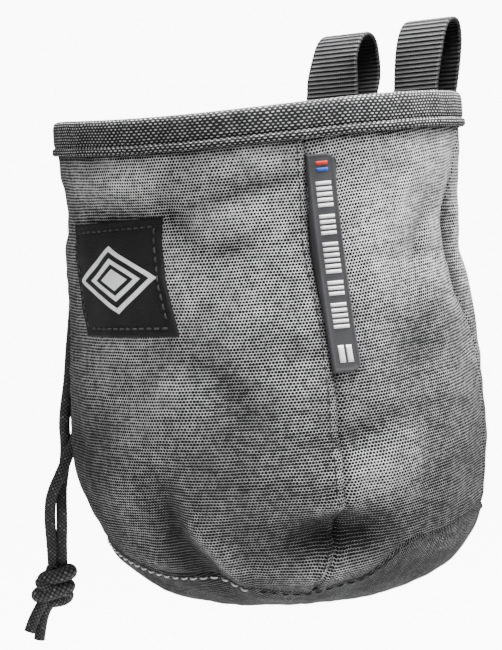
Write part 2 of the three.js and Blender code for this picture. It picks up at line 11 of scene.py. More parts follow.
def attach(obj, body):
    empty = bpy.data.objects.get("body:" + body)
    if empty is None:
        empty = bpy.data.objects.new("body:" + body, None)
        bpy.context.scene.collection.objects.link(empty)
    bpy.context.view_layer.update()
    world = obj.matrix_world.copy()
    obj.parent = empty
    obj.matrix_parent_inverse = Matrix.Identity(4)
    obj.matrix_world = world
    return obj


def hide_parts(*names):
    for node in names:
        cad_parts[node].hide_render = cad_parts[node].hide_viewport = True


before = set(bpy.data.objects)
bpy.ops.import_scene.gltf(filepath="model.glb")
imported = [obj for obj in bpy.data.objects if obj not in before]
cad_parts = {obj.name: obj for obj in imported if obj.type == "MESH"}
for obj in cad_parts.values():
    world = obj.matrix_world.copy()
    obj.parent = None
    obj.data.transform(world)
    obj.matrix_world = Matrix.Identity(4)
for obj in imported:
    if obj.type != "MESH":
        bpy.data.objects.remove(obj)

bl_info = {
    "name": "Chalk bag",
    "version": (1, 0, 0),
    "blender": (4, 5, 0),
    "location": "3D View > Sidebar > Chalk bag",
    "description": "Builds a climber's chalk bag with its cloth, trim and drawcord",
    "category": "Object",
}

# Lengths are in millimetres in these tables and formulas, and in metres in every mesh
MM = 0.001

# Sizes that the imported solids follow
BAG_RADIUS = 59.6
BAG_HEIGHT = 141.0
CLOTH = 1.5
SEAT_GAP = 0.3
TAPE = 1.2
BAND_HEIGHT = 9.7
LIP_HEIGHT = 2.4
LIP_PROUD = 0.6
WEBBING_WIDTH = 19.0
WEBBING_THICKNESS = 1.6
LOOP_ANGLE = 15.4
LOOP_BELOW_BAND = 8.3
LOOP_DEPTH = 13.0
LEG_GAP = 0.5
BELT_OUT = 7.0
BELT_UP = 9.5
LABEL_WIDTH = 42.6
LABEL_HEIGHT = 32.4
LABEL_SPAN = 0.94 * LABEL_WIDTH
LABEL_ANGLE = -12.5
LABEL_BELOW_BAND = 17.5
LABEL_INSET = 2.4
TAG_LENGTH = 58.2
TAG_WIDTH = 8.5
TAG_THICKNESS = 1.5
TAG_CORNER = 3.0
TAG_BELOW_BAND = 4.1
TAG_RISE = 1.1

# Seams: the welt beside one, how far it holds the cloth smooth, and how flat the bottom's is
WELT_HEIGHT = 0.28
SEAM_REACH = 6.0
BASE_SEAM_SHARE = 0.22

# Topstitching: how far beside the tag's seam and below the bottom's it runs in mm, the threads' widths in
# metres, and the label's stitches: length, pitch, width and start in metres
STITCH_BESIDE = 2.4
STITCH_BELOW = 1.6
SIDE_THREAD = 0.0004
BOTTOM_THREAD = 0.00055
LABEL_STITCH = (0.0019, 0.0026, 0.0006, 0.0003)

# The wall's section: down as a share of the height, out as a share of the radius
PROFILE = np.array([
    (0.0, 0.961), (0.07, 0.961), (0.11, 0.962), (0.165, 0.945), (0.225, 0.938), (0.3, 0.948),
    (0.37, 0.96), (0.435, 0.972), (0.5, 0.989), (0.56, 0.998), (0.62, 1.0), (0.665, 1.0),
    (0.715, 0.992), (0.77, 0.968), (0.815, 0.938), (0.85, 0.908), (0.885, 0.87), (0.915, 0.815),
    (0.945, 0.73), (0.97, 0.61), (0.987, 0.45), (0.997, 0.23), (1.0, 0.0),
])

# How far the section's centre lies to one side: down, and shift as a share of the radius
SWAY_ANGLE = 127.8
SWAY = np.array([(0.0, 0.0), (0.15, 0.0), (0.28, -0.02), (0.45, 0.0), (0.7, 0.0), (0.86, 0.036), (1.0, 0.05)])

# Waves of the rim: waves round it, height as a share of the radius, angle of a crest
RIM_WAVES = ((1, 0.02, 75), (2, 0.0134, 120), (3, 0.0076, 68))
RIM_WAVE_REACH = 0.21

# Folds: angle, down, turn from level, then half length, half width and height as shares of the radius
FOLDS = (
    (-8, 0.195, 3, 0.32, 0.084, -0.044), (-8, 0.113, 0, 0.3, 0.07, 0.013), (-14, 0.27, 0, 0.3, 0.17, -0.02),
    (14, 0.209, -42, 0.134, 0.057, -0.034), (29, 0.262, 0, 0.15, 0.057, -0.032),
    (28, 0.202, 8, 0.25, 0.06, 0.02), (35, 0.148, 9, 0.2, 0.045, -0.025),
    (40, 0.355, 65, 0.134, 0.084, -0.013), (34, 0.475, 65, 0.134, 0.084, -0.013),
    (24, 0.532, -46, 0.25, 0.1, -0.026), (8, 0.582, 0, 0.22, 0.15, 0.017),
    (46, 0.546, 0, 0.17, 0.084, 0.013), (3, 0.773, 78, 0.22, 0.1, -0.04),
    (9, 0.88, -50, 0.17, 0.084, -0.044), (16, 0.851, -62, 0.2, 0.067, 0.027),
    (50, 0.812, 4, 0.22, 0.077, -0.077), (46, 0.894, 6, 0.25, 0.07, 0.03),
    (51, 0.734, 0, 0.084, 0.034, -0.015), (51, 0.766, 0, 0.084, 0.037, 0.015),
    (61, 0.62, 14, 0.2, 0.07, -0.032), (69, 0.695, 80, 0.2, 0.15, 0.03), (88, 0.27, 62, 0.17, 0.05, -0.023),
    (78, 0.206, 60, 0.23, 0.117, 0.02), (80, 0.468, 40, 0.184, 0.117, -0.022),
    (113, 0.3, 88, 0.285, 0.134, -0.092), (128, 0.312, 90, 0.33, 0.134, 0.013),
    (-118, 0.55, 75, 0.3, 0.12, -0.025), (178, 0.6, 20, 0.35, 0.12, -0.025),
    (-150, 0.74, -30, 0.28, 0.1, -0.03), (150, 0.78, 25, 0.25, 0.1, -0.03),
)
FOLD_FADE_FROM = 0.35
FOLD_FADE_OVER = 0.3

# Seams: down as a share of the panel's height, then angle; and the bottom's seam by angle
TAG_SEAM = np.array([(0.0, 49.5), (0.1, 50.0), (0.5, 53.0), (0.8, 54.0), (0.9, 49.5), (1.0, 43.0)])
LEFT_SEAM = np.array([(0.0, -53.0), (1.0, -53.0)])
RIGHT_BACK_SEAM = np.array([(0.0, 114.0), (1.0, 114.0)])
LEFT_BACK_SEAM = np.array([(0.0, -114.0), (1.0, -114.0)])
RIGHT_BACK_SEAM_ROUND = RIGHT_BACK_SEAM - (0.0, 360.0)
BASE_SEAM = np.array([
    (-180, 0.835), (-95, 0.838), (-52, 0.845), (0, 0.895), (40, 0.935), (56, 0.915), (76, 0.845),
    (110, 0.825), (180, 0.835),
])

# Wall panels: node, left seam, right seam, grid columns and rows, and the weave's turn in degrees
PANELS = (
    ("front_panel", LEFT_SEAM, TAG_SEAM, 210, 190, 0.0),
    ("right_side_panel", TAG_SEAM, RIGHT_BACK_SEAM, 130, 190, 5.0),
    ("left_side_panel", LEFT_BACK_SEAM, LEFT_SEAM, 110, 160, 0.0),
    ("back_panel", RIGHT_BACK_SEAM_ROUND, LEFT_BACK_SEAM, 190, 160, 0.0),
)

# Places of painted light and shade, where the cloth reads paler or darker: degrees round, down as a share of
# the height, half width in degrees, half height as a share, change of tone
PAINTED_LIGHT_AND_SHADE_PATCHES = (
    (61.0, 0.71, 11.0, 0.055, -0.42), (59.0, 0.6, 10.0, 0.04, -0.3), (36.0, 0.08, 14.0, 0.045, -0.3),
    (89.0, 0.42, 12.0, 0.1, 0.12), (5.0, 0.91, 13.0, 0.04, 0.2),
)

# The label's corners: across from its middle and down from its top, as shares of its size
LABEL_CORNERS = np.array([[(-0.5, 0.057), (0.5, 0.0)], [(-0.268, 1.0), (0.61, 1.0)]])

# The belt loops: node, side, height, lean, slide, the strap's turns by height, and the free middle line,
# out as a share of the loops' depth and up as a share of the loop's height
LOOPS = (
    (
        "belt_loop_left", -1, 23.5, 0.11, 0.1, np.array([(-0.3, LOOP_ANGLE), (0.3, 1.0), (0.76, -8.0)]),
        ((0.154, -0.204), (0.131, 0), (0.069, 0.255), (0.031, 0.51), (0.069, 0.745), (0.223, 0.929),
         (0.477, 1), (0.754, 0.939), (0.938, 0.765), (1, 0.541), (0.938, 0.286), (0.754, 0.031), (0.523, -0.255),
         (0.338, -0.51)),
    ),
    (
        "belt_loop_right", 1, 24.4, 0.13, 0.1, np.array([(-0.28, -LOOP_ANGLE), (0.14, -12.5), (0.7, -8.0)]),
        ((0.154, -0.187), (0.131, 0), (0.092, 0.28), (0.092, 0.561), (0.138, 0.804), (0.277, 0.958),
         (0.492, 1), (0.708, 0.949), (0.846, 0.785), (0.908, 0.537), (0.938, 0.262), (0.877, 0), (0.631, -0.28),
         (0.369, -0.495)),
    ),
)

# The drawcord's strands from the eyelet to the knot, in the bag's frame: x, y and z from the rim
STRANDS = {
    "drawcord_strand_1": (
        (-55.8, -3.6, -17.5), (-58.3, -3.9, -17.6), (-61.0, -4.2, -18.2), (-63.4, -4.7, -20.6),
        (-64.4, -5.7, -24.8), (-63.9, -7.4, -30.6), (-62.9, -9.7, -38.0), (-61.9, -12.4, -47.0),
        (-61.0, -15.5, -57.0), (-60.3, -18.7, -67.0), (-59.9, -21.0, -76.0), (-59.3, -22.2, -84.0),
        (-57.8, -23.3, -88.8), (-57.1, -25.2, -92.7), (-58.2, -27.1, -96.6), (-59.3, -28.5, -100.3),
        (-60.5, -30.1, -104.0), (-61.6, -31.2, -107.0), (-62.7, -31.9, -110.4), (-63.5, -31.9, -114.2),
        (-63.9, -31.8, -118.4), (-63.9, -31.7, -124.1), (-63.9, -31.8, -130.5),
    ),
    "drawcord_strand_2": (
        (-55.5, -7.1, -17.5), (-58.0, -7.4, -17.6), (-60.7, -7.7, -18.2), (-63.0, -8.2, -20.6),
        (-64.0, -9.2, -24.8), (-63.3, -10.9, -30.6), (-62.2, -13.2, -38.0), (-61.0, -15.9, -47.0),
        (-59.9, -19.0, -57.0), (-59.1, -22.2, -67.0), (-58.7, -24.6, -76.0), (-59.5, -26.1, -84.0),
        (-60.6, -25.9, -89.2), (-61.0, -25.5, -92.7), (-61.5, -25.2, -96.6), (-61.8, -25.7, -100.3),
        (-62.0, -26.6, -104.0), (-62.2, -27.3, -107.0), (-62.0, -28.0, -110.4), (-61.8, -28.6, -114.7),
        (-61.9, -28.9, -118.8), (-62.2, -29.3, -124.5), (-62.4, -29.6, -130.8),
    ),
}

# The knot's turn round the bag, how thick its wraps are against the cord, and the wraps: centre, half width
# and half depth in mm, tilt in degrees; and its other runs of cord
KNOT_TURN = 37.8
KNOT_SWELL = 1.4
KNOT_WRAPS = (((-63.2, -31.2, -133.4), 3.9, 2.6, 14.0), ((-64.2, -32.3, -137.8), 4.5, 2.6, 13.0))
KNOT_RUNS = (
    ((-64.2, -32.0, -130.6), (-64.6, -32.8, -133.2), (-64.2, -33.1, -136.0), (-65.2, -34.0, -138.6),
     (-67.2, -36.4, -143.4), (-68.4, -37.6, -146.4), (-69.3, -38.6, -149.4)),
    ((-62.1, -29.4, -130.9), (-61.8, -29.9, -133.4), (-61.8, -30.4, -136.4), (-63.0, -31.3, -138.8),
     (-65.6, -33.1, -141.8), (-67.4, -34.2, -145.6), (-69.0, -34.9, -152.4)),
    ((-66.4, -35.3, -134.6), (-64.8, -36.2, -135.6), (-62.4, -34.6, -136.9), (-60.2, -31.8, -137.8),
     (-60.0, -30.4, -139.4), (-61.6, -31.2, -140.8), (-64.4, -33.4, -141.2)),
)

# The camera: degrees round from the front toward +X, its distance and height, and where it looks, in the
# bag's frame in mm; the roll in degrees; and its focal length in pixels of the 502 x 650 picture
CAMERA_ROUND = 37.8
CAMERA_DISTANCE = 683.3
CAMERA_HEIGHT = -10.6
CAMERA_AIM_ASIDE = -6.03
CAMERA_AIM_HEIGHT = -61.7
CAMERA_ROLL = -4.04
FOCAL_PIXELS = 2365.0
PICTURE_HEIGHT = 650.0
SENSOR_HEIGHT = 36.0

# Soft lights: name, degrees aside from the camera toward the right, degrees up, and watts
LIGHTS = (
    ("top", 50.0, 78.0, 13.0), ("right", 50.0, 50.0, 1.1), ("left", -30.0, 50.0, 0.45),
    ("low", 85.0, -15.0, 0.15), ("side", -100.0, 10.0, 0.22),
)
LIGHT_SIZE = 0.25

# How bright the camera sees the floor and the surround, and the surround's own light
SEEN_WHITE = (10.0, 10.0, 10.0, 1.0)
SURROUND_LIGHT = (0.05, 0.05, 0.05, 1.0)


def ease(x):
    """Smooth step from 0 to 1: 3x² - 2x³, held at its ends."""
    x = np.clip(x, 0.0, 1.0)
    return x * x * (3.0 - 2.0 * x)


def blend_rows(rows, x):
    """Value of a two-column table at x, eased between its rows."""
    starts, values = rows.T
    k = np.clip(np.searchsorted(starts, x, side="right") - 1, 0, len(starts) - 2)
    return values[k] + (values[k + 1] - values[k]) * ease((x - starts[k]) / (starts[k + 1] - starts[k]))


def run_along(path):
    """Distance along a path at each of its points."""
    return np.concatenate([[0.0], np.cumsum(np.linalg.norm(np.diff(path, axis=0), axis=1))])


def read_rows(at, starts, rows):
    """Rows of a table read in a straight line between their starts."""
    return np.stack([np.interp(at, starts, column) for column in rows.T], axis=-1)


def smooth_curve(points, samples):
    """Curve through points: between b and c, with neighbours a and d, half of
    2b + (c - a)s + (2a - 5b + 4c - d)s² + (3b - a - 3c + d)s³, then spaced evenly along its length."""
    p = np.asarray(points, float)
    p = np.vstack([p[:1], p, p[-1:]])
    a, b, c, d = (p[k:len(p) - 3 + k, None] for k in range(4))
    s = np.linspace(0.0, 1.0, 24, endpoint=False)[None, :, None]
    curve = 0.5 * (2 * b + (c - a) * s + (2 * a - 5 * b + 4 * c - d) * s**2 + (3 * b - a - 3 * c + d) * s**3)
    curve = np.vstack([curve.reshape(-1, p.shape[1]), p[-1]])
    length = run_along(curve)
    return read_rows(np.linspace(0.0, length[-1], samples), length, curve)


SECTION = smooth_curve(PROFILE * (BAG_HEIGHT, BAG_RADIUS), 3000)
SECTION_SHARE = np.linspace(0.0, 1.0, len(SECTION))
SECTION_LENGTH = float(np.linalg.norm(np.diff(SECTION, axis=0), axis=1).sum())
TOP_SHARE = (TAPE + SEAT_GAP) / SECTION_LENGTH


def section_at(share):
    """Down and out of the wall's section at a share of its length."""
    return np.interp(share, SECTION_SHARE, SECTION[:, 0]), np.interp(share, SECTION_SHARE, SECTION[:, 1])


def share_at(down):
    """Share of the section's length at which it has come this far down."""
    return np.interp(down, SECTION[:, 0], SECTION_SHARE)


def base_share(angle):
    """Share of the section's length at the bottom panel's seam."""
    wrapped = wrap(np.asarray(angle, float))
    return share_at(blend_rows(BASE_SEAM, wrapped) * BAG_HEIGHT)


def wrap(angle):
    """Angle between -180 and 180 degrees."""
    return np.mod(angle + 180.0, 360.0) - 180.0


def arc(angle):
    """Run round the bag at its full radius, in mm."""
    return np.radians(angle) * BAG_RADIUS


def side_by_side(*parts):
    """Arrays brought to one shape and set along a new last axis."""
    return np.stack(np.broadcast_arrays(*parts), axis=-1)


def fold_heights(angle, down):
    """Sum of the folds as a share of the radius, each height · exp(-lengthwise² - crosswise²)."""
    total = 0.0
    for fold_angle, fold_down, turn, length, width, height in FOLDS:
        a = np.radians(wrap(angle - fold_angle))
        h = (fold_down * BAG_HEIGHT - down) / BAG_RADIUS
        c, s = math.cos(math.radians(turn)), math.sin(math.radians(turn))
        total = total + height * np.exp(-((a * c + h * s) / length)**2 - ((h * c - a * s) / width)**2)
    return total


def wall_in_bag(angle, share, off=0.0):
    """The wall in the bag's own frame, in mm: the section turned round the axis and pushed out by the folds,
    with the rim's waves and the sway added."""
    angle, share = np.broadcast_arrays(np.asarray(angle, float), np.clip(share, 0.0, 1.0))
    down, out = section_at(share)
    step = 0.0015
    held = np.clip(share, step, 1.0 - step)
    ahead, behind = section_at(held + step), section_at(held - step)
    run = np.hypot(ahead[0] - behind[0], ahead[1] - behind[1])
    level, lift = (ahead[0] - behind[0]) / run, (ahead[1] - behind[1]) / run
    fade = ease((out / BAG_RADIUS - FOLD_FADE_FROM) / FOLD_FADE_OVER)
    push = fold_heights(angle, down) * BAG_RADIUS * fade + off
    rise = sum(height * np.cos(np.radians(n * (angle - crest))) for n, height, crest in RIM_WAVES)
    rise = rise * BAG_RADIUS * np.exp(-(down / (RIM_WAVE_REACH * BAG_HEIGHT))**2)
    shift = blend_rows(SWAY, down / BAG_HEIGHT) * BAG_RADIUS
    distance = out + level * push
    round_angle, sway = np.radians(angle), math.radians(SWAY_ANGLE)
    return side_by_side(
        distance * np.sin(round_angle) + shift * math.sin(sway),
        -distance * np.cos(round_angle) - shift * math.cos(sway), -down + lift * push + rise)


# The belt line is the origin, so the bag's axis and rim lie ahead of it and below it
BAG_PLACE = np.array([0.0, -(wall_in_bag(180.0 - LOOP_ANGLE, 0.0, SEAT_GAP + TAPE)[1] + BELT_OUT), -BELT_UP])


def to_row(points):
    """Points of the bag's frame in mm, as metres in the row's frame."""
    return (np.asarray(points, float) + BAG_PLACE) * MM


def relief(angle, share):
    """Small unevenness of the cloth in mm: a seeded sum of sine waves that close on themselves round the
    bag, each amplitude · sin(n·angle + m·run + phase)."""
    dice = np.random.default_rng(7)
    run = np.asarray(share) * SECTION_LENGTH
    total = 0.0
    for wavelength in np.geomspace(34.0, 6.5, 26):
        lean = dice.uniform(0.0, math.pi)
        n = round(2 * math.pi * BAG_RADIUS / wavelength * math.cos(lean))
        m = 2 * math.pi / wavelength * math.sin(lean)
        phase = dice.uniform(0.0, 2 * math.pi)
        total = total + 0.0042 * wavelength * np.sin(n * np.radians(angle) + m * run + phase)
    return total


def painted_cloth_shade(angle, share):
    """Painted shade on the cloth, from 0 to 1, read as how dark its threads look: more toward the left, the back
    and the bottom, more in the folds' valleys and less on their crests, dark under the rim's lip, and made
    paler or darker at its own places as painted light and painted shade."""
    down, _ = section_at(share)
    depth, aside = down / BAG_HEIGHT, wrap(angle)
    behind = ease((aside - 115.0) / 60.0)
    # Painted shade toward the bottom, the left, the back and the lower right
    tone = 0.3 + 0.36 * ease((depth - 0.2) / 0.65) + 0.3 * (ease((-4.0 - aside) / 40.0) + behind)
    tone = tone + 0.12 * ease((aside - 35.0) / 30.0) * (1.0 - behind) * ease((depth - 0.28) / 0.2)
    # More painted shade at the bottom, painted shade in the folds' valleys and painted light on their crests
    tone = tone + 0.3 * ease((depth - 0.87) / 0.06) - 7.5 * fold_heights(angle, down)
    # Painted shade under the rim's lip
    tone = tone + 0.5 * np.exp(-((down - BAND_HEIGHT - 0.2) / 0.9)**2)
    # Painted light and shade at the listed places
    for place, low, wide, tall, change in PAINTED_LIGHT_AND_SHADE_PATCHES:
        tone = tone + change * np.exp(-((aside - place) / wide)**2 - ((depth - low) / tall)**2)
    return np.clip(tone, 0.0, 1.0)


def seam_dip(distance, along, depth, part=1.0):
    """Height of the cloth beside a seam in mm: a groove on the seam, a welt over the turned-in edge, both
    times part, and puckers that fade away from it."""
    groove = -depth * part * np.exp(-(distance / 0.9)**2)
    welt = WELT_HEIGHT * part * np.exp(-((distance - 3.0) / 1.7)**2)
    wave = np.sin(2 * math.pi * along / 5.3 + 1.7 * np.sin(along / 7.0))
    pucker = 0.13 * wave * np.exp(-(distance / 4.5)**2)
    return groove + welt + pucker * (1.0 - np.exp(-(distance / 1.2)**2))


def seam_distances(angle, share, left, right, v):
    """Distances in mm to a panel's left, right and bottom seams."""
    to_base = (base_share(angle) - share) * SECTION_LENGTH
    return arc(angle - blend_rows(left, v)), arc(blend_rows(right, v) - angle), to_base


def cloth_off(angle, share, seams, depth):
    """How far the cloth's face stands off the plain wall: its relief, and the dips at its seams by their
    distances. The run along them is down for the side seams and round for the bottom's."""
    down = share * SECTION_LENGTH
    fade, off = 1.0, 0.0
    for distance, along, part in zip(seams, (down, down, arc(angle)), (1.0, 1.0, BASE_SEAM_SHARE)):
        off = off + seam_dip(distance, along, depth, part)
        fade = fade * ease(distance / SEAM_REACH)
    return off + relief(angle, share) * fade


def wall(angle, share, off=0.0):
    """Points of the wall in the row's frame, in metres."""
    return to_row(wall_in_bag(angle, share, off))


def unit(vectors):
    """Vectors divided by their lengths."""
    return vectors / np.maximum(np.linalg.norm(vectors, axis=-1, keepdims=True), 1e-12)


def wall_normal(angle, share):
    """Outward direction of the wall: downward step across rightward step."""
    right = wall(angle + 0.6, share) - wall(angle - 0.6, share)
    down = wall(angle, share + 0.003) - wall(angle, share - 0.003)
    return unit(np.cross(down, right))


def grid_quads(rows, columns):
    """Corner rows and columns of every quad of a grid, as two (m, 4) arrays."""
    i, j = np.meshgrid(np.arange(rows), np.arange(columns), indexing="ij")
    return i.reshape(-1, 1) + [0, 1, 1, 0], j.reshape(-1, 1) + [0, 0, 1, 1]


class Shape:
    """Points, faces and corner coordinates of one mesh, gathered body by body."""

    def __init__(self):
        self.points = []
        self.faces = []
        self.corners = []
        self.painted_shades = []
        self.count = 0

    def add(self, points, face_sets, tone=0.0):
        """Adds a closed body. Each face set is an (m, k) array of numbers with its (m, k, 2) corners. All
        are turned round if the volume, the sum of a · (b × c) / 6 over the triangles, is below zero."""
        volume = 0.0
        for faces, _ in face_sets:
            p = points[faces]
            for k in range(1, faces.shape[1] - 1):
                volume += np.einsum("ij,ij->", p[:, 0], np.cross(p[:, k], p[:, k + 1]))
        turn = -1 if volume < 0 else 1
        for faces, corners in face_sets:
            self.faces.extend((faces[:, ::turn] + self.count).tolist())
            self.corners.append(corners[:, ::turn].reshape(-1, 2))
        self.points.append(points)
        self.painted_shades.append(np.broadcast_to(tone, len(points)))
        self.count += len(points)

    def add_sheet(self, outer, inner, surface, tone=0.0):
        """A closed sheet between two like grids, joined along their edges; surface holds each point's own
        coordinates."""
        rows, columns = outer.shape[0] - 1, outer.shape[1] - 1
        total = outer.shape[0] * outer.shape[1]
        i, j = grid_quads(rows, columns)
        front = i * (columns + 1) + j
        number = np.arange(total).reshape(outer.shape[:2])
        ring = np.concatenate([number[0, :-1], number[:-1, -1], number[-1, :0:-1], number[:0:-1, 0]])
        after = np.roll(ring, -1)
        edge = np.stack([ring, after, after + total, ring + total], axis=1)
        flat = surface.reshape(-1, 2)
        flat = np.vstack([flat, flat])
        back = front[:, ::-1] + total
        points = np.vstack([outer.reshape(-1, 3), inner.reshape(-1, 3)])
        tone = np.tile(np.broadcast_to(tone, outer.shape[:2]).ravel(), 2)
        self.add(points, [(front, flat[front]), (back, flat[back]), (edge, flat[edge])], tone)

    def add_rings(self, rings, surface, closed=False, tone=0.0):
        """A bar through a run of closed rings (n, k, 3). surface is (n, k + 1, 2), or (n + 1, k + 1, 2) if
        the run closes on itself; otherwise its ends get flat caps."""
        count, sides = rings.shape[:2]
        i, j = grid_quads(count if closed else count - 1, sides)
        body = (i % count) * sides + j % sides
        sets = [(body, surface[i, j])]
        if not closed:
            first = np.arange(sides)[None, ::-1]
            last = (count - 1) * sides + np.arange(sides)[None]
            sets += [(first, surface[0, first]), (last, surface[-1, last - (count - 1) * sides])]
        self.add(rings.reshape(-1, 3), sets, tone)

    def build(self, name, material, nodes=()):
        """Makes the mesh object, on the bag's body, standing for the given nodes."""
        mesh = bpy.data.meshes.new(name)
        mesh.from_pydata(np.vstack(self.points).tolist(), [], self.faces)
        layer = mesh.uv_layers.new(name="surface")
        layer.data.foreach_set("uv", np.vstack(self.corners).astype(np.float32).ravel())
        # The tone attribute holds painted shade: on the cloth and on the webbing's inner face, 0 elsewhere
        tone = mesh.attributes.new("tone", "FLOAT", "POINT")
        tone.data.foreach_set("value", np.concatenate(self.painted_shades).astype(np.float32))
        mesh.polygons.foreach_set("use_smooth", np.ones(len(mesh.polygons), bool))
        mesh.materials.append(material)
        mesh.update()
        piece = bpy.data.objects.new(name, mesh)
        bpy.context.scene.collection.objects.link(piece)
        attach(piece, "root")
        if nodes:
            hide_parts(*nodes)
        return piece


def tube_rings(path, side, radius, sides):
    """Rings round a path: centre + radius · (cos t · across + sin t · over), where across is the side
    direction squared to the path. radius is one number or an (n, sides) array."""
    along = unit(np.gradient(path, axis=0))
    across = unit(side - along * np.sum(side * along, axis=1, keepdims=True))
    over = np.cross(along, across)
    t = np.linspace(0.0, 2 * math.pi, sides, endpoint=False)
    spoke = np.cos(t)[None, :, None] * across[:, None] + np.sin(t)[None, :, None] * over[:, None]
    return path[:, None] + spoke * np.broadcast_to(radius, (len(path), sides))[..., None]


def braided_tube(shape, path, side, diameter, turn_length, carriers, closed=False):
    """A braided cord along a path in metres. Its radius swells where a carrier lies on top: 1.04 + 0.08 times
    the larger of |cos(carriers·t/2 + k·run)| and |cos(carriers·t/2 - k·run)|."""
    sides = 28
    along = run_along(np.vstack([path, path[:1]]) if closed else path)
    t = np.linspace(0.0, 2 * math.pi, sides + 1)
    k = math.pi * carriers / turn_length
    here = along[:len(path), None]
    one = np.abs(np.cos(carriers * t[None, :-1] / 2 + k * here))
    other = np.abs(np.cos(carriers * t[None, :-1] / 2 - k * here))
    radius = diameter / 2 * (1.04 + 0.08 * np.maximum(one, other))
    surface = side_by_side(t / (2 * math.pi), along[:, None])
    if closed:
        rings = tube_rings(np.vstack([path[-1:], path, path[:1]]), np.vstack([side[-1:], side, side[:1]]),
                           np.vstack([radius[-1:], radius, radius[:1]]), sides)[1:-1]
        shape.add_rings(rings, surface, closed=True)
    else:
        shape.add_rings(tube_rings(path, side, radius, sides), surface)


def add_stitches(shape, path, normal, length, pitch, width, start=0.0):
    """Thread stitches along a path in metres: each is a short bar whose middle rises as sin(pi·t) off the
    cloth and whose ends dive into it."""
    along = run_along(path)
    count = int((along[-1] - start - length) / pitch) + 1
    t = np.linspace(0.0, 1.0, 7)
    at = start + np.arange(count)[:, None] * pitch + t[None] * length
    centre, up = read_rows(at, along, path), unit(read_rows(at, along, normal))
    forward = unit(np.gradient(centre, axis=1))
    aside = unit(np.cross(forward, up))
    centre = centre + up * (width * (0.95 * np.sin(math.pi * t)**0.6 - 0.55))[None, :, None]
    ring = np.linspace(0.0, 2 * math.pi, 6, endpoint=False)
    thick = (width / 2 * (0.55 + 0.45 * np.sin(math.pi * t)**0.5))[None, :, None, None]
    spoke = np.cos(ring)[:, None] * aside[:, :, None] + np.sin(ring)[:, None] * up[:, :, None]
    points = centre[:, :, None] + spoke * thick
    i, j = grid_quads(len(t) - 1, len(ring))
    body = i * len(ring) + j % len(ring)
    first = np.arange(len(ring))[None, ::-1]
    last = (len(t) - 1) * len(ring) + np.arange(len(ring))[None]
    step = (np.arange(count) * len(t) * len(ring))[:, None, None]
    flat = side_by_side(np.arange(len(ring)) / 6.0, at.ravel()[:, None]).reshape(-1, 2)
    sets = []
    for faces in (body, first, last):
        every = (faces[None] + step).reshape(-1, faces.shape[1])
        sets.append((every, flat[every]))
    shape.add(points.reshape(-1, 3), sets)


class Net:
    """Short calls that place and link the nodes of one shader tree."""

    def __init__(self, tree):
        self.tree = tree

    def new(self, kind, **settings):
        node = self.tree.nodes.new(kind)
        for key, value in settings.items():
            setattr(node, key, value)
        return node

    def feed(self, socket, value):
        if isinstance(value, bpy.types.NodeSocket):
            self.tree.links.new(value, socket)
        else:
            socket.default_value = value

    def math(self, operation, *values):
        node = self.new("ShaderNodeMath", operation=operation)
        for socket, value in zip(node.inputs, values):
            self.feed(socket, value)
        return node.outputs[0]

    def plus(self, a, b):
        return self.math("ADD", a, b)

    def minus(self, a, b):
        return self.math("SUBTRACT", a, b)

    def times(self, a, b):
        return self.math("MULTIPLY", a, b)

    def over(self, a, b):
        return self.math("DIVIDE", a, b)

    def size(self, operation, value):
        """An operation's result without its sign."""
        return self.math("ABSOLUTE", self.math(operation, value))

    def split(self, vector):
        """A vector's first two parts."""
        node = self.new("ShaderNodeSeparateXYZ")
        self.feed(node.inputs[0], vector)
        return node.outputs[0], node.outputs[1]

    def tone(self):
        """The tone that the piece's points carry: painted shade on the cloth and on the webbing's inner face."""
        return self.new("ShaderNodeAttribute", attribute_name="tone").outputs["Fac"]

    def step(self, value, low, high):
        """0 below low, 1 above high, eased between; turned round where low is above high."""
        node = self.new("ShaderNodeMapRange", interpolation_type="SMOOTHSTEP")
        for socket, number in zip(node.inputs, (value, low, high, 0.0, 1.0)):
            self.feed(socket, number)
        return node.outputs[0]

    def join(self, x, y, z=0.0):
        node = self.new("ShaderNodeCombineXYZ")
        for socket, value in zip(node.inputs, (x, y, z)):
            self.feed(socket, value)
        return node.outputs[0]

    def noise(self, vector, scale, detail=2.0, roughness=0.5):
        node = self.new("ShaderNodeTexNoise")
        self.feed(node.inputs["Vector"], vector)
        self.feed(node.inputs["Scale"], scale)
        node.inputs["Detail"].default_value = detail
        node.inputs["Roughness"].default_value = roughness
        return node.outputs["Fac"]

    def mix(self, factor, a, b):
        node = self.new("ShaderNodeMix", data_type="RGBA")
        self.feed(node.inputs[0], factor)
        self.feed(node.inputs[6], a)
        self.feed(node.inputs[7], b)
        return node.outputs[2]

    def place(self, group, **values):
        node = self.new("ShaderNodeGroup", node_tree=group)
        for key, value in values.items():
            self.feed(node.inputs[key.replace("_", " ")], value)
        return node.outputs


def new_group(name, inputs, outputs):
    """A shader node group, its input sockets and its output's. Sockets are named with a colon and v for a
    vector, f for a number or c for a colour."""
    tree = bpy.data.node_groups.new(name, "ShaderNodeTree")
    kinds = {"v": "NodeSocketVector", "f": "NodeSocketFloat", "c": "NodeSocketColor"}
    for way, sockets in (("INPUT", inputs), ("OUTPUT", outputs)):
        for socket in sockets.split():
            tree.interface.new_socket(name=socket[:-2], in_out=way, socket_type=kinds[socket[-1]])
    entry = tree.nodes.new("NodeGroupInput")
    leave = tree.nodes.new("NodeGroupOutput")
    return tree, entry.outputs, leave.inputs


def old_group(name):
    """The node group of this name if it has been made already."""
    return bpy.data.node_groups.get(name)


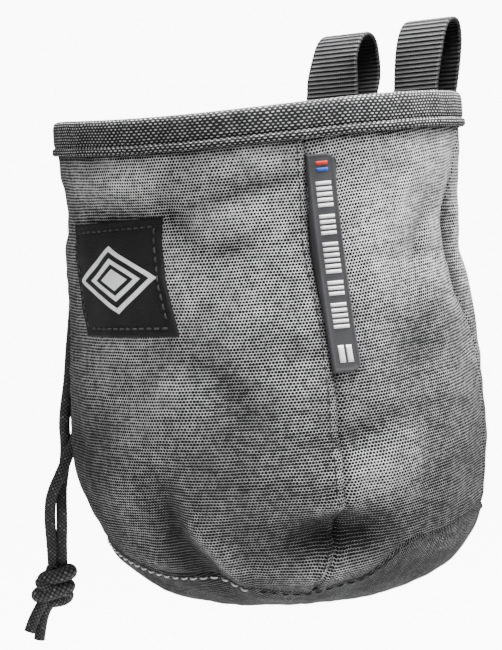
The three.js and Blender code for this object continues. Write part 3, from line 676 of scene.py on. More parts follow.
def weave_group():
    """Threads that cross: spots in rows, every other row moved by half a spot, on a ground of threads whose
    shade wanders along them. A spot lies where d < size, d² = x² + (long · y)² from its cell's middle."""
    name = "crossed threads"
    if old_group(name):
        return old_group(name)
    tree, given, out = new_group(
        name, "Surface:v Across:f Down:f Spot:f Soft:f Long:f Scatter:f Ground:c Spots:c Shade:c",
        "Color:c Height:f Mask:f")
    net = Net(tree)
    across, down = net.split(given["Surface"])
    moved = net.new("ShaderNodeVectorMath", operation="ADD")
    net.feed(moved.inputs[0], given["Surface"])
    moved.inputs[1].default_value = (3.1, 1.7, 0.0)
    x = net.plus(net.over(across, given["Across"]), net.times(net.noise(given["Surface"], 90.0), 1.2))
    y = net.plus(net.over(down, given["Down"]), net.noise(moved.outputs[0], 70.0))
    row = net.math("FLOOR", y)
    x = net.plus(x, net.math("FRACT", net.times(row, 0.5)))
    column = net.math("FLOOR", x)
    in_x, in_y = (net.minus(net.math("FRACT", part), 0.5) for part in (x, y))
    dice = net.new("ShaderNodeTexWhiteNoise", noise_dimensions="2D")
    net.feed(dice.inputs["Vector"], net.join(column, row))
    luck = net.minus(dice.outputs["Value"], 0.5)
    tall = net.times(in_y, given["Long"])
    distance = net.math("SQRT", net.plus(net.times(in_x, in_x), net.times(tall, tall)))
    size = net.plus(given["Spot"], net.times(luck, given["Scatter"]))
    mask = net.step(distance, net.plus(size, given["Soft"]), net.minus(size, given["Soft"]))
    weft = net.noise(net.join(net.times(x, 0.16), net.times(row, 3.7)), 1.0, 1.0)
    warp = net.noise(net.join(net.times(column, 3.3), net.times(y, 0.12)), 1.0, 1.0)
    streak = net.step(net.plus(net.times(weft, 0.6), net.times(warp, 0.4)), 0.42, 0.66)
    ground = net.mix(net.times(streak, 0.7), given["Ground"], given["Shade"])
    net.feed(out["Color"], net.mix(mask, ground, given["Spots"]))
    crown = net.minus(1.0, net.times(net.times(in_y, in_y), 3.0))
    net.feed(out["Height"], net.minus(crown, net.times(mask, 0.55)))
    net.feed(out["Mask"], mask)
    return tree


def braid_group():
    """Carriers of a braid in two directions: light where one lies on top and black between, painted shade in the
    grooves, with a few lighter tracer threads."""
    name = "braid"
    if old_group(name):
        return old_group(name)
    tree, given, out = new_group(
        name, "Surface:v Turn:f Carriers:f Thread:c Gap:c Tracer:c", "Color:c Height:f")
    net = Net(tree)
    round_it, along = net.split(given["Surface"])
    turns = net.over(along, given["Turn"])
    one = net.times(net.plus(round_it, turns), given["Carriers"])
    other = net.times(net.minus(round_it, turns), given["Carriers"])
    height = net.times(*(net.size("SINE", net.times(way, math.pi)) for way in (one, other)))
    tracer = net.step(height, 0.35, 0.75)
    for way, share, limit in ((one, 0.25, 0.2), (other, 0.5, 0.25)):
        turn = net.math("FRACT", net.times(net.math("FLOOR", way), share))
        tracer = net.times(tracer, net.math("LESS_THAN", turn, limit))
    # Painted shade: the grooves between the carriers take the gap colour
    color = net.mix(net.step(height, 0.1, 0.7), given["Gap"], given["Thread"])
    net.feed(out["Color"], net.mix(tracer, color, given["Tracer"]))
    net.feed(out["Height"], height)
    return tree


def tone_group():
    """Slow change of shade over the surface: the colour times 1 - amount · eased noise."""
    name = "uneven tone"
    if old_group(name):
        return old_group(name)
    tree, given, out = new_group(name, "Color:c Amount:f Scale:f", "Color:c Tone:f")
    net = Net(tree)
    where = net.new("ShaderNodeTexCoord")
    cloud = net.step(net.noise(where.outputs["Object"], given["Scale"], 4.0, 0.6), 0.35, 0.7)
    net.feed(out["Color"], net.mix(net.times(cloud, given["Amount"]), given["Color"], (0.0, 0.0, 0.0, 1.0)))
    net.feed(out["Tone"], cloud)
    return tree


def new_material(name, roughness):
    """A material with its net, its Principled shader and the piece's own surface coordinates."""
    material = bpy.data.materials.new(name)
    material.use_nodes = True
    shader = material.node_tree.nodes["Principled BSDF"]
    shader.inputs["Roughness"].default_value = roughness
    shader.inputs["Specular IOR Level"].default_value = 0.3
    net = Net(material.node_tree)
    surface = net.new("ShaderNodeUVMap", uv_map="surface").outputs[0]
    return material, net, shader, surface


def paint(net, shader, color, amount, scale):
    """Feeds the base colour, with its uneven tone, and returns that tone."""
    toned = net.place(tone_group(), Color=color, Amount=amount, Scale=scale)
    net.feed(shader.inputs["Base Color"], toned["Color"])
    return toned["Tone"]


def bump(net, shader, height, strength, distance):
    """Feeds the shader's normal from a height."""
    node = net.new("ShaderNodeBump")
    node.inputs["Strength"].default_value = strength
    node.inputs["Distance"].default_value = distance
    net.feed(node.inputs["Height"], height)
    net.feed(shader.inputs["Normal"], node.outputs[0])


def rgba(color):
    """A colour property with full alpha."""
    return (*color, 1.0)


def cloth_material(cloth):
    """Plain weave of pale and black threads, with painted shade: bigger black spots and a greyer ground where
    the cloth's tone is high.
    """
    material, net, shader, surface = new_material("bag cloth", 0.92)
    tone = net.tone()
    pale, grey = rgba(cloth.pale_thread), rgba(cloth.streak_and_shade_grey)
    # Painted shade: a high tone grows the black spots and turns the pale ground grey
    threads = net.place(
        weave_group(), Surface=surface, Across=cloth.weave_across, Down=cloth.weave_down,
        Spot=net.plus(0.33, net.times(tone, 0.27)), Soft=0.05, Long=1.0, Scatter=0.1,
        Ground=net.mix(net.times(tone, 0.8), pale, grey), Spots=rgba(cloth.dark_thread), Shade=grey)
    paint(net, shader, threads["Color"], 0.35, 55.0)
    bump(net, shader, threads["Height"], 0.5, 0.0003)
    return material


def band_material(trim):
    """Coarse tape: pale flecks in rows on black."""
    material, net, shader, surface = new_material("rim tape", 0.85)
    ground = rgba(trim.tape_ground)
    threads = net.place(
        weave_group(), Surface=surface, Across=trim.tape_across, Down=trim.tape_down, Spot=0.25, Soft=0.05,
        Long=1.25, Scatter=0.1, Ground=ground, Spots=rgba(trim.tape_fleck), Shade=ground)
    paint(net, shader, threads["Color"], 0.3, 70.0)
    bump(net, shader, threads["Mask"], 0.6, 0.0003)
    return material


def webbing_material(trim):
    """Ribs across the strap, pale on their crowns and black between, with fine threads along each rib: the pale
    crowns are a painted highlight and the black between them is painted shade. The strap's inner face, where
    the tone is 1, is darker with painted shade."""
    material, net, shader, surface = new_material("ribbed webbing", 0.8)
    across, along = net.split(surface)
    # Painted highlight on the rib crowns and painted shade between them
    crown = net.size("COSINE", net.times(net.over(along, trim.rib_pitch), math.pi))
    cross = net.size("SINE", net.over(across, 0.00023))
    lit = net.times(net.step(crown, 0.86, 1.0), net.plus(0.25, net.times(cross, 0.75)))
    # Painted shade on the strap's inner face
    lit = net.times(lit, net.minus(1.0, net.times(net.tone(), 0.85)))
    paint(net, shader, net.mix(lit, rgba(trim.rib_gap_shade), rgba(trim.rib_crown_highlight)), 0.35, 120.0)
    bump(net, shader, net.plus(crown, net.times(cross, 0.2)), 0.5, 0.0003)
    return material


def label_material(trim):
    """Fine black weave with white lozenges, one inside the other, woven in."""
    material, net, shader, surface = new_material("woven label", 0.75)
    ground = rgba(trim.label_ground)
    threads = net.place(
        weave_group(), Surface=surface, Across=0.00042, Down=0.00036, Spot=0.3, Soft=0.15, Long=1.0,
        Scatter=0.15, Ground=ground, Spots=rgba(trim.label_spot), Shade=ground)
    aside, down = net.split(surface)
    above = net.math("ABSOLUTE", net.minus(down, LABEL_HEIGHT / 2 * MM))
    lozenge = net.plus(net.times(net.math("ABSOLUTE", aside), 0.55), above)
    ring, slot = (net.step(net.math("ABSOLUTE", net.minus(lozenge, size)), half + 0.0001, half - 0.0001)
                  for size, half in ((0.0088, 0.0008), (0.0038, 0.0007)))
    heart = net.step(lozenge, 0.0062, 0.006)
    drawn = net.math("MAXIMUM", ring, net.minus(heart, slot))
    paint(net, shader, net.mix(drawn, threads["Color"], rgba(trim.label_ornament)), 0.2, 150.0)
    bump(net, shader, net.plus(threads["Height"], drawn), 0.4, 0.00012)
    return material


def rubber_material(name, color):
    """Moulded rubber with a fine matte grain."""
    material, net, shader, _ = new_material(name, 0.55)
    paint(net, shader, rgba(color), 0.25, 90.0)
    grain = net.noise(net.new("ShaderNodeTexCoord").outputs["Object"], 4200.0)
    net.feed(shader.inputs["Roughness"], net.plus(0.42, net.times(grain, 0.3)))
    bump(net, shader, grain, 0.25, 0.00008)
    return material


def cord_material(cords):
    """Black braid with faint tracer threads."""
    material, net, shader, surface = new_material("braided cord", 0.7)
    strands = net.place(
        braid_group(), Surface=surface, Turn=cords.braid_turn, Carriers=float(cords.carriers),
        Thread=rgba(cords.thread), Gap=rgba(cords.gap), Tracer=rgba(cords.tracer))
    paint(net, shader, strands["Color"], 0.3, 160.0)
    bump(net, shader, strands["Height"], 0.6, 0.0002)
    return material


def thread_material(name, color):
    """Twisted sewing thread, darker in the grooves between its plies: painted shade."""
    material, net, shader, surface = new_material(name, 0.6)
    round_it, along = net.split(surface)
    ply = net.plus(net.times(round_it, 2 * math.pi), net.times(along, 9000.0))
    twist = net.size("SINE", ply)
    # Painted shade: the grooves between the plies take 0.4 of the colour
    dark = tuple(0.4 * part for part in color)
    net.feed(shader.inputs["Base Color"], net.mix(twist, rgba(dark), rgba(color)))
    bump(net, shader, twist, 0.4, 0.0001)
    return material


def length(name, description, default):
    """A length property, in metres."""
    return FloatProperty(name=name, description=description, default=default, unit="LENGTH")


def shade(name, description, *default):
    """A colour property, from one grey or from red, green and blue."""
    color = default if len(default) == 3 else default * 3
    return FloatVectorProperty(name=name, description=description, default=color, subtype="COLOR")


class ClothSettings(bpy.types.PropertyGroup):
    weave_across: length("Weave across", "Distance between spots along a row", 0.00091)
    weave_down: length("Weave down", "Distance between rows of spots", 0.00083)
    seam_depth: length("Seam depth", "How far the cloth dips at a seam", 0.0009)
    stitch_pitch: length("Stitch pitch", "Distance from stitch to stitch", 0.0031)
    stitch_length: length("Stitch length", "Length of a stitch", 0.0023)
    pale_thread: shade("Pale thread", "Ground threads", 0.95)
    # The grey serves both the ground threads' own streaks and the cloth's painted shade
    streak_and_shade_grey: shade("Grey thread", "Shaded stretches of the ground threads", 0.27, 0.27, 0.275)
    dark_thread: shade("Dark thread", "Spots", 0.005, 0.005, 0.0055)


class TrimSettings(bpy.types.PropertyGroup):
    tape_across: length("Tape across", "Distance between flecks along the rim", 0.0015)
    tape_down: length("Tape down", "Distance between rows of flecks", 0.00078)
    tape_ground: shade("Tape ground", "Rim tape", 0.004, 0.004, 0.0045)
    tape_fleck: shade("Tape fleck", "Flecks on the rim tape", 0.5, 0.5, 0.51)
    rib_pitch: length("Rib pitch", "Distance between the webbing's ribs", 0.0013)
    rib_height: length("Rib height", "Height of the webbing's ribs", 0.0002)
    # Painted highlight on the webbing's rib crowns and painted shade between them
    rib_crown_highlight: shade("Webbing rib", "Crowns of the ribs", 0.12, 0.12, 0.123)
    rib_gap_shade: shade("Webbing gap", "Between the ribs", 0.003, 0.003, 0.0035)
    label_ground: shade("Label ground", "Label", 0.003, 0.003, 0.0035)
    label_spot: shade("Label spot", "Raised threads of the label", 0.014, 0.014, 0.015)
    label_ornament: shade("Label ornament", "Ornament woven into the label", 0.95)
    label_thread: shade("Label thread", "Stitches round the label", 0.06, 0.06, 0.062)
    tag_rubber: shade("Tag rubber", "Seam tag", 0.05, 0.05, 0.053)
    tag_marks: shade("Tag marks", "Raised marks on the tag", 0.9)


class CordSettings(bpy.types.PropertyGroup):
    diameter: length("Diameter", "Drawcord", 0.003)
    braid_turn: length("Braid turn", "Length of one turn of the braid", 0.0095)
    carriers: IntProperty(name="Carriers", description="Threads of the braid in each direction", default=8)
    thread: shade("Thread", "Braid", 0.065, 0.065, 0.067)
    # The braid's grooves: painted shade
    gap: shade("Gap", "Between the braid's threads", 0.003)
    tracer: shade("Tracer", "Lighter threads", 0.14)


class StageSettings(bpy.types.PropertyGroup):
    floor_height: length("Floor height", "Floor below the hanging bag", -0.3)
    floor_color: shade("Floor color", "Plain pale floor", 0.9)
    floor_glow: FloatProperty(
        name="Floor glow", description="Light that the white floor throws back", default=0.09)
    light_distance: length("Light distance", "From the bag's middle to each light", 0.35)


class CHALKBAG_OT_stage(bpy.types.Operator):
    """Set the camera, the floor and the soft lights"""

    bl_idname = "chalkbag.stage"
    bl_label = "Add stage"

    def execute(self, context):
        stage = context.scene.chalkbag_stage
        around = math.radians(CAMERA_ROUND)
        c, s = math.cos(around), math.sin(around)
        place = np.array([CAMERA_DISTANCE * s, -CAMERA_DISTANCE * c, CAMERA_HEIGHT])
        aim = np.array([CAMERA_AIM_ASIDE * c, CAMERA_AIM_ASIDE * s, CAMERA_AIM_HEIGHT])
        forward = unit(aim - place)
        right = unit(np.cross(forward, (0.0, 0.0, 1.0)))
        over = np.cross(right, forward)
        c, s = math.cos(math.radians(CAMERA_ROLL)), math.sin(math.radians(CAMERA_ROLL))
        across, upward = right * c + over * s, over * c - right * s
        lens = bpy.data.cameras.new("camera")
        lens.sensor_fit = "VERTICAL"
        lens.sensor_height = SENSOR_HEIGHT
        lens.lens = FOCAL_PIXELS / PICTURE_HEIGHT * SENSOR_HEIGHT
        lens.clip_start = 0.05
        camera = bpy.data.objects.new("camera", lens)
        matrix = Matrix([[across[k], upward[k], -forward[k], 0.0] for k in range(3)] + [[0.0, 0.0, 0.0, 1.0]])
        matrix.translation = Vector(to_row(place))
        camera.matrix_world = matrix
        context.scene.collection.objects.link(camera)
        context.scene.camera = camera

        middle = to_row((0.0, 0.0, -BAG_HEIGHT / 2))
        for name, aside, height, power in LIGHTS:
            a, e = math.radians(aside), math.radians(height)
            way = (across * math.sin(a) - forward * math.cos(a)) * math.cos(e) + upward * math.sin(e)
            self.add_light(name, middle + stage.light_distance * way, middle, power)
        self.add_floor(stage)
        self.add_world(context.scene)
        return {"FINISHED"}

    def add_light(self, name, place, aim, power):
        """A square soft light that faces the bag."""
        lamp = bpy.data.lights.new(name, "AREA")
        lamp.shape = "SQUARE"
        lamp.size = LIGHT_SIZE
        lamp.energy = power
        light = bpy.data.objects.new(name, lamp)
        light.location = place
        light.rotation_euler = Vector(aim - place).to_track_quat("-Z", "Y").to_euler()
        bpy.context.scene.collection.objects.link(light)

    def add_floor(self, stage):
        """A wide floor that curves up behind: height 0, then a quarter turn, then straight up."""
        x = np.linspace(-6.0, 6.0, 25)
        bend = np.linspace(0.0, math.pi / 2, 17)
        run = np.concatenate([[-6.0], 3.0 + np.sin(bend), [4.0]])
        rise = np.concatenate([[0.0], 1.0 - np.cos(bend), [6.0]])
        grid = side_by_side(x, run[:, None], rise[:, None] + stage.floor_height)
        turn = Matrix.Rotation(math.radians(CAMERA_ROUND), 3, "Z")
        points = grid.reshape(-1, 3) @ np.array(turn).T
        i, j = grid_quads(len(run) - 1, len(x) - 1)
        mesh = bpy.data.meshes.new("floor")
        mesh.from_pydata(points.tolist(), [], (i * len(x) + j)[:, ::-1].tolist())
        mesh.polygons.foreach_set("use_smooth", np.ones(len(mesh.polygons), bool))
        material = bpy.data.materials.new("pale floor")
        material.use_nodes = True
        shader = material.node_tree.nodes["Principled BSDF"]
        shader.inputs["Base Color"].default_value = rgba(stage.floor_color)
        shader.inputs["Roughness"].default_value = 0.9
        net = Net(material.node_tree)
        seen = net.new("ShaderNodeLightPath").outputs["Is Camera Ray"]
        glow = net.mix(seen, (stage.floor_glow,) * 3 + (1.0,), SEEN_WHITE)
        net.feed(shader.inputs["Emission Color"], glow)
        shader.inputs["Emission Strength"].default_value = 1.0
        mesh.materials.append(material)
        floor = bpy.data.objects.new("floor", mesh)
        bpy.context.scene.collection.objects.link(floor)

    def add_world(self, scene):
        """A pale surround: bright where the camera sees it, dimmer as light."""
        world = bpy.data.worlds.new("surround")
        world.use_nodes = True
        net = Net(world.node_tree)
        sky = world.node_tree.nodes["Background"]
        seen = net.new("ShaderNodeLightPath").outputs["Is Camera Ray"]
        net.feed(sky.inputs["Color"], net.mix(seen, SURROUND_LIGHT, SEEN_WHITE))
        sky.inputs["Strength"].default_value = 1.0
        scene.world = world


class CHALKBAG_OT_drawcord(bpy.types.Operator):
    """Lay the drawcord's two strands and tie their knot"""

    bl_idname = "chalkbag.drawcord"
    bl_label = "Add drawcord"

    def execute(self, context):
        cords = context.scene.chalkbag_cord
        material = cord_material(cords)
        knot = self.add_knot(cords, material)
        for name, route in STRANDS.items():
            path = smooth_curve(to_row(route), 420)
            shape = Shape()
            side = np.tile([0.0, 1.0, 0.0], (len(path), 1))
            braided_tube(shape, path, side, cords.diameter, cords.braid_turn, cords.carriers)
            strand = shape.build(name + "_braid", material, [name])
        return {"FINISHED"}

    def add_knot(self, cords, material):
        """The knot: tilted oval wraps, centre + a·cos t across + b·sin t deep, round the runs of cord."""
        shape = Shape()
        turn = math.radians(KNOT_TURN)
        across = np.array([math.cos(turn), math.sin(turn), 0.0])
        deep = np.array([-math.sin(turn), math.cos(turn), 0.0])
        t = np.linspace(0.0, 2 * math.pi, 90, endpoint=False)[:, None]
        for centre, half_width, half_depth, tilt in KNOT_WRAPS:
            lean = math.radians(tilt)
            sideways = across * math.cos(lean) + np.array([0.0, 0.0, math.sin(lean)])
            ring = np.array(centre) + half_width * np.cos(t) * sideways + half_depth * np.sin(t) * deep
            upright = np.tile([0.0, 0.0, 1.0], (len(ring), 1))
            thick = cords.diameter * KNOT_SWELL
            braided_tube(shape, to_row(ring), upright, thick, cords.braid_turn, cords.carriers, True)
        for run in KNOT_RUNS:
            path = smooth_curve(to_row(run), 70)
            side = np.tile(deep, (len(path), 1))
            braided_tube(shape, path, side, cords.diameter, cords.braid_turn, cords.carriers)
        return shape.build("drawcord_knot_braid", material, ["drawcord_knot"])


class CHALKBAG_OT_panels(bpy.types.Operator):
    """Make the cloth panels of the wall and the bottom"""

    bl_idname = "chalkbag.panels"
    bl_label = "Add cloth panels"

    def execute(self, context):
        cloth = context.scene.chalkbag_cloth
        material = cloth_material(cloth)
        for node, left, right, columns, rows, turn in PANELS:
            self.add_wall_panel(cloth, material, node, left, right, columns, rows, turn)
        self.add_bottom(cloth, material)
        return {"FINISHED"}

    def add_wall_panel(self, cloth, material, node, left, right, columns, rows, turn):
        """A panel between two seams: u runs from seam to seam and v from the rim to the bottom's seam."""
        u = np.linspace(0.0, 1.0, columns + 1)[None, :]
        v = np.linspace(0.0, 1.0, rows + 1)[:, None]
        angle = blend_rows(left, v) * (1.0 - u) + blend_rows(right, v) * u
        share = TOP_SHARE + (base_share(angle) - TOP_SHARE) * v
        off = cloth_off(angle, share, seam_distances(angle, share, left, right, v), cloth.seam_depth / MM)
        around, down = arc(angle) * MM, share * SECTION_LENGTH * MM
        c, s = math.cos(math.radians(turn)), math.sin(math.radians(turn))
        surface = side_by_side(around * c - down * s, around * s + down * c)
        shape = Shape()
        tone = painted_cloth_shade(angle, share)
        shape.add_sheet(wall(angle, share, off), wall(angle, share, off - CLOTH), surface, tone)
        shape.build(node + "_cloth", material, [node])

    def add_bottom(self, cloth, material):
        """The bottom: rings from its seam in to the middle, flat coordinates measured from the middle."""
        angle = np.linspace(-180.0, 180.0, 361)[None, :]
        v = np.linspace(0.0, 1.0, 61)[:, None]
        start = base_share(angle)
        share = start + (0.9995 - start) * v
        angle, share = np.broadcast_arrays(angle, share)
        distance = (share - start) * SECTION_LENGTH
        off = seam_dip(distance, arc(angle), cloth.seam_depth / MM, BASE_SEAM_SHARE)
        off = off + relief(angle, share) * ease(distance / SEAM_REACH) * (1.0 - v)
        reach = (1.0 - share) * SECTION_LENGTH * MM
        surface = side_by_side(reach * np.sin(np.radians(angle)), -reach * np.cos(np.radians(angle)))
        shape = Shape()
        outer, inner = wall(angle, share, off)[:, :-1], wall(angle, share, off - CLOTH)[:, :-1]
        rows, columns = outer.shape[0] - 1, outer.shape[1]
        total = outer.shape[0] * columns
        i, j = grid_quads(rows, columns)
        front = i * columns + j % columns
        here = np.arange(columns)[:, None] + [0, 1, 1, 0]
        rim = here % columns + [0, 0, total, total]
        rim_corners = surface[0, here]
        cap = (rows * columns + np.arange(columns))[None]
        cap_corners = surface[-1, :-1][None]
        points = np.vstack([outer.reshape(-1, 3), inner.reshape(-1, 3)])
        shape.add(points, [
            (front, surface[i, j]), (front[:, ::-1] + total, surface[i, j][:, ::-1]), (rim, rim_corners),
            (cap, cap_corners), (cap[:, ::-1] + total, cap_corners[:, ::-1]),
        ], np.tile(painted_cloth_shade(angle, share)[:, :-1].ravel(), 2))
        shape.build("base_panel_cloth", material, ["base_panel"])


class CHALKBAG_OT_rim_band(bpy.types.Operator):
    """Fold the binding round the mouth"""

    bl_idname = "chalkbag.rim_band"
    bl_label = "Add rim band"

    def execute(self, context):
        inside = -(CLOTH + SEAT_GAP)
        outside = SEAT_GAP + TAPE
        lip = outside + LIP_PROUD
        lip_top = BAND_HEIGHT - LIP_HEIGHT
        # Off and down: up the inner face, over the rim, down the outer face to the lip, and back up between
        outline = np.array([
            (inside - TAPE, BAND_HEIGHT - 0.3), (inside - TAPE, 6.0), (inside - TAPE, 2.4),
            (inside - 0.9, 1.0), (inside + 0.2, 0.2), (-0.75, 0.0), (0.5, 0.25), (1.15, 0.9),
            (outside - 0.05, 2.2), (outside, 4.2), (outside, lip_top - 0.7),
            (outside - 0.25, lip_top - 0.15), (outside - 0.3, lip_top + 0.15), (lip - 0.2, lip_top + 0.45),
            (lip, lip_top + 1.2), (lip - 0.1, BAND_HEIGHT - 0.35), (lip - 0.6, BAND_HEIGHT),
            (SEAT_GAP + 0.2, BAND_HEIGHT), (SEAT_GAP, BAND_HEIGHT - 0.3), (SEAT_GAP, TAPE + 0.4),
            (SEAT_GAP - 0.3, TAPE), (inside + 0.3, TAPE), (inside, TAPE + 0.4),
            (inside, BAND_HEIGHT - 0.3), (inside - 0.3, BAND_HEIGHT),
        ])
        outline = smooth_curve(np.vstack([outline, outline[:1]]), 111)[:-1]
        angle = np.linspace(0.0, 360.0, 481)[:-1, None]
        ripple = 0.12 * np.sin(np.radians(angle * 31)) + 0.1 * np.sin(np.radians(angle * 53 + 40))
        off = outline[:, 0] + ripple * np.sign(outline[:, 0] + CLOTH / 2)
        points = wall(angle + 0 * off, outline[:, 1] / SECTION_LENGTH, off)
        around = arc(np.linspace(0.0, 360.0, 481)) * MM
        surface = side_by_side(around[:, None], run_along(np.vstack([outline, outline[:1]])) * MM)
        shape = Shape()
        shape.add_rings(points, surface, closed=True)
        shape.build("rim_band_tape", band_material(context.scene.chalkbag_trim), ["rim_band"])
        return {"FINISHED"}


class CHALKBAG_OT_belt_loops(bpy.types.Operator):
    """Bend the two webbing loops behind the mouth"""

    bl_idname = "chalkbag.belt_loops"
    bl_label = "Add belt loops"

    def execute(self, context):
        trim = context.scene.chalkbag_trim
        material = webbing_material(trim)
        for node, side, height, lean, slide, turns, free in LOOPS:
            self.add_loop(trim, material, node, side, height, lean, slide, turns, free)
        return {"FINISHED"}

    def add_loop(self, trim, material, node, side, height, lean, slide, turns, free):
        """A strap on its middle line (out, up): each cross-section is an oblong with round edges, and the
        faces rise by rib height · |cos(pi·run / pitch)|."""
        reach = height - WEBBING_THICKNESS / 2
        tail = BAND_HEIGHT + LOOP_BELOW_BAND
        seat = WEBBING_THICKNESS / 2 - TAPE
        over_lip = LIP_PROUD + WEBBING_THICKNESS / 2 + LEG_GAP
        outer_seat = seat + WEBBING_THICKNESS + LEG_GAP
        line = [(seat, -tail), (seat, -(BAND_HEIGHT + 0.47 * LOOP_BELOW_BAND)),
                (seat + 0.57 * (over_lip - seat), -(BAND_HEIGHT + 0.16 * LOOP_BELOW_BAND)),
                (over_lip, LIP_HEIGHT / 2 - BAND_HEIGHT)]
        line += [(out * LOOP_DEPTH, up * reach) for out, up in free]
        line += [(outer_seat + LEG_GAP, -(BAND_HEIGHT + 0.49 * LOOP_BELOW_BAND)), (outer_seat, -tail)]
        middle = smooth_curve(line, 620)
        along = unit(np.gradient(middle, axis=0))
        run = run_along(middle)
        half = WEBBING_THICKNESS / 2 - trim.rib_height / MM
        w = np.linspace(-1.0, 1.0, 21)
        end = np.linspace(0.0, math.pi, 7)[1:-1]
        flat = WEBBING_WIDTH / 2 - half
        across = np.concatenate([w * flat, np.sin(end) * half + flat, -w * flat, -np.sin(end) * half - flat])
        off = np.concatenate([np.full(len(w), half), np.cos(end) * half])
        off = np.concatenate([off, -off])
        rib = trim.rib_height / MM * np.abs(np.cos(math.pi * run * MM / trim.rib_pitch))
        off = off[None] + np.sign(off)[None] * rib[:, None] * (np.abs(off) > half * 0.5)[None]
        across = np.broadcast_to(across, off.shape)
        out = middle[:, :1] + along[:, 1:] * off
        up = middle[:, 1:] - along[:, :1] * off
        rim = wall_in_bag(180.0 - side * LOOP_ANGLE, 0.0, SEAT_GAP + TAPE)
        turn = np.radians(blend_rows(turns, middle[:, 1:] / height))
        rise = np.maximum(0.0, up)
        points = side_by_side(
            rim[0] + slide * rise + across * np.cos(turn), rim[1] + out + lean * rise + across * np.sin(turn),
            rim[2] + up)
        surface = side_by_side(np.concatenate([across, across[:, :1]], axis=1), run[:, None]) * MM
        shape = Shape()
        # Tone 1 marks the face that gets the painted shade
        shape.add_rings(to_row(points), surface, tone=(off > 0).ravel().astype(float))
        shape.build(node + "_webbing", material, [node])


def from_edge(u, v, width, height):
    """Distance to the nearest edge of an oblong whose u and v run from 0 to 1."""
    return np.minimum(np.minimum(u, 1 - u) * width, np.minimum(v, 1 - v) * height)


def rounded(x):
    """A quarter circle's rise from 0 at x = 0 to 1 at x = 1."""
    return np.sqrt(1 - (1 - np.clip(x, 0, 1))**2)


def front_off(angle, share, depth):
    """How far the front panel's cloth stands off the plain wall."""
    v = (share - TOP_SHARE) / (base_share(angle) - TOP_SHARE)
    return cloth_off(angle, share, seam_distances(angle, share, LEFT_SEAM, TAG_SEAM, v), depth)


def label_place(u, v):
    """Angle and share of the label's points: its corners blended across and down."""
    u, v = u[..., None], v[..., None]
    top, low = (corners[0] * (1 - u) + corners[1] * u for corners in LABEL_CORNERS)
    mixed = top * (1 - v) + low * v
    angle = LABEL_ANGLE + np.degrees(mixed[..., 0] * LABEL_WIDTH / BAG_RADIUS)
    return angle, share_at(BAND_HEIGHT + LABEL_BELOW_BAND + mixed[..., 1] * LABEL_HEIGHT)


class CHALKBAG_OT_label(bpy.types.Operator):
    """Sew the woven label on the front"""

    bl_idname = "chalkbag.label"
    bl_label = "Add label"

    def execute(self, context):
        trim = context.scene.chalkbag_trim
        depth = context.scene.chalkbag_cloth.seam_depth / MM
        u, v = np.meshgrid(np.linspace(0.0, 1.0, 131), np.linspace(0.0, 1.0, 101))
        angle, share = label_place(u, v)
        edge = from_edge(u, v, LABEL_SPAN, LABEL_HEIGHT)
        sewn = 0.22 * np.exp(-((edge - LABEL_INSET) / 0.8)**2)
        cloth = front_off(angle, share, depth)
        off = cloth + 0.18 + 0.72 * rounded(edge / 0.6) - sewn
        shape = Shape()
        shape.add_sheet(wall(angle, share, off), wall(angle, share, cloth + 0.1),
                        side_by_side((u - 0.5) * LABEL_SPAN, v * LABEL_HEIGHT) * MM)
        shape.build("woven_label_cloth", label_material(trim), ["woven_label"])
        self.add_stitches(trim, depth)
        return {"FINISHED"}

    def add_stitches(self, trim, depth):
        """A running stitch on all four sides, a little in from the edge."""
        shape = Shape()
        u, v = LABEL_INSET / LABEL_SPAN, LABEL_INSET / LABEL_HEIGHT
        corners = [(u, v), (1 - u, v), (1 - u, 1 - v), (u, 1 - v)]
        for (u0, v0), (u1, v1) in zip(corners, corners[1:] + corners[:1]):
            t = np.linspace(0.0, 1.0, 90)
            angle, share = label_place(u0 + (u1 - u0) * t, v0 + (v1 - v0) * t)
            path = wall(angle, share, front_off(angle, share, depth) + 0.72)
            add_stitches(shape, path, wall_normal(angle, share), *LABEL_STITCH)
        shape.build("woven_label_stitches", thread_material("label thread", trim.label_thread))


def tag_place(across, down):
    """Angle and share of a point of the tag: across from the seam and down from the tag's top, in mm."""
    share = share_at(BAND_HEIGHT + TAG_BELOW_BAND + down)
    return blend_rows(TAG_SEAM, share) + np.degrees((across + 0.3) / BAG_RADIUS), share


def tag_terms(across, down):
    """Terms of the tag's face and their slopes across and down: 1, d, d², a, a·d, a·d²."""
    a, d = across / TAG_WIDTH, down / TAG_LENGTH
    one, none = np.ones_like(a), np.zeros_like(a)
    return (side_by_side(one, d, d * d, a, a * d, a * d * d), side_by_side(none, none, none, one, d, d * d),
            side_by_side(none, one, 2 * d, none, a, 2 * a * d))


def fit_tag():
    """The stiff tag's face: three quarters of the best straight fit to the cloth under it and a quarter of
    the best bent one, lifted until the tag's top clears that cloth."""
    across, down = np.meshgrid(np.linspace(0.0, TAG_WIDTH, 9), np.linspace(0.0, TAG_LENGTH, 60))
    cloth = wall_in_bag(*tag_place(across, down)).reshape(-1, 3)
    terms, sideways, downward = (part.reshape(-1, 6) for part in tag_terms(across, down))
    straight = [0, 1, 3, 4]
    face = 0.25 * np.linalg.lstsq(terms, cloth, rcond=None)[0]
    face[straight] += 0.75 * np.linalg.lstsq(terms[:, straight], cloth, rcond=None)[0]
    normal = unit(np.cross(downward @ face, sideways @ face))
    clear = np.sum((cloth - terms @ face) * normal, axis=1)
    return face, max(0.0, float(clear.max()) - 0.45 * TAG_THICKNESS)


def tag_rise(across):
    """Height of the tag's face over its fitted plane: low along the seam that holds it."""
    return TAG_RISE * (0.8 + 0.2 * ease(across / TAG_WIDTH / 0.6))


def tag_face(across, down, off):
    """Points of the tag in the row's frame: its fitted face, raised by off along its own normal."""
    face, lift = fit_tag()
    terms, sideways, downward = tag_terms(across, down)
    normal = unit(np.cross(downward @ face, sideways @ face))
    return to_row(terms @ face + normal * (off + lift)[..., None])


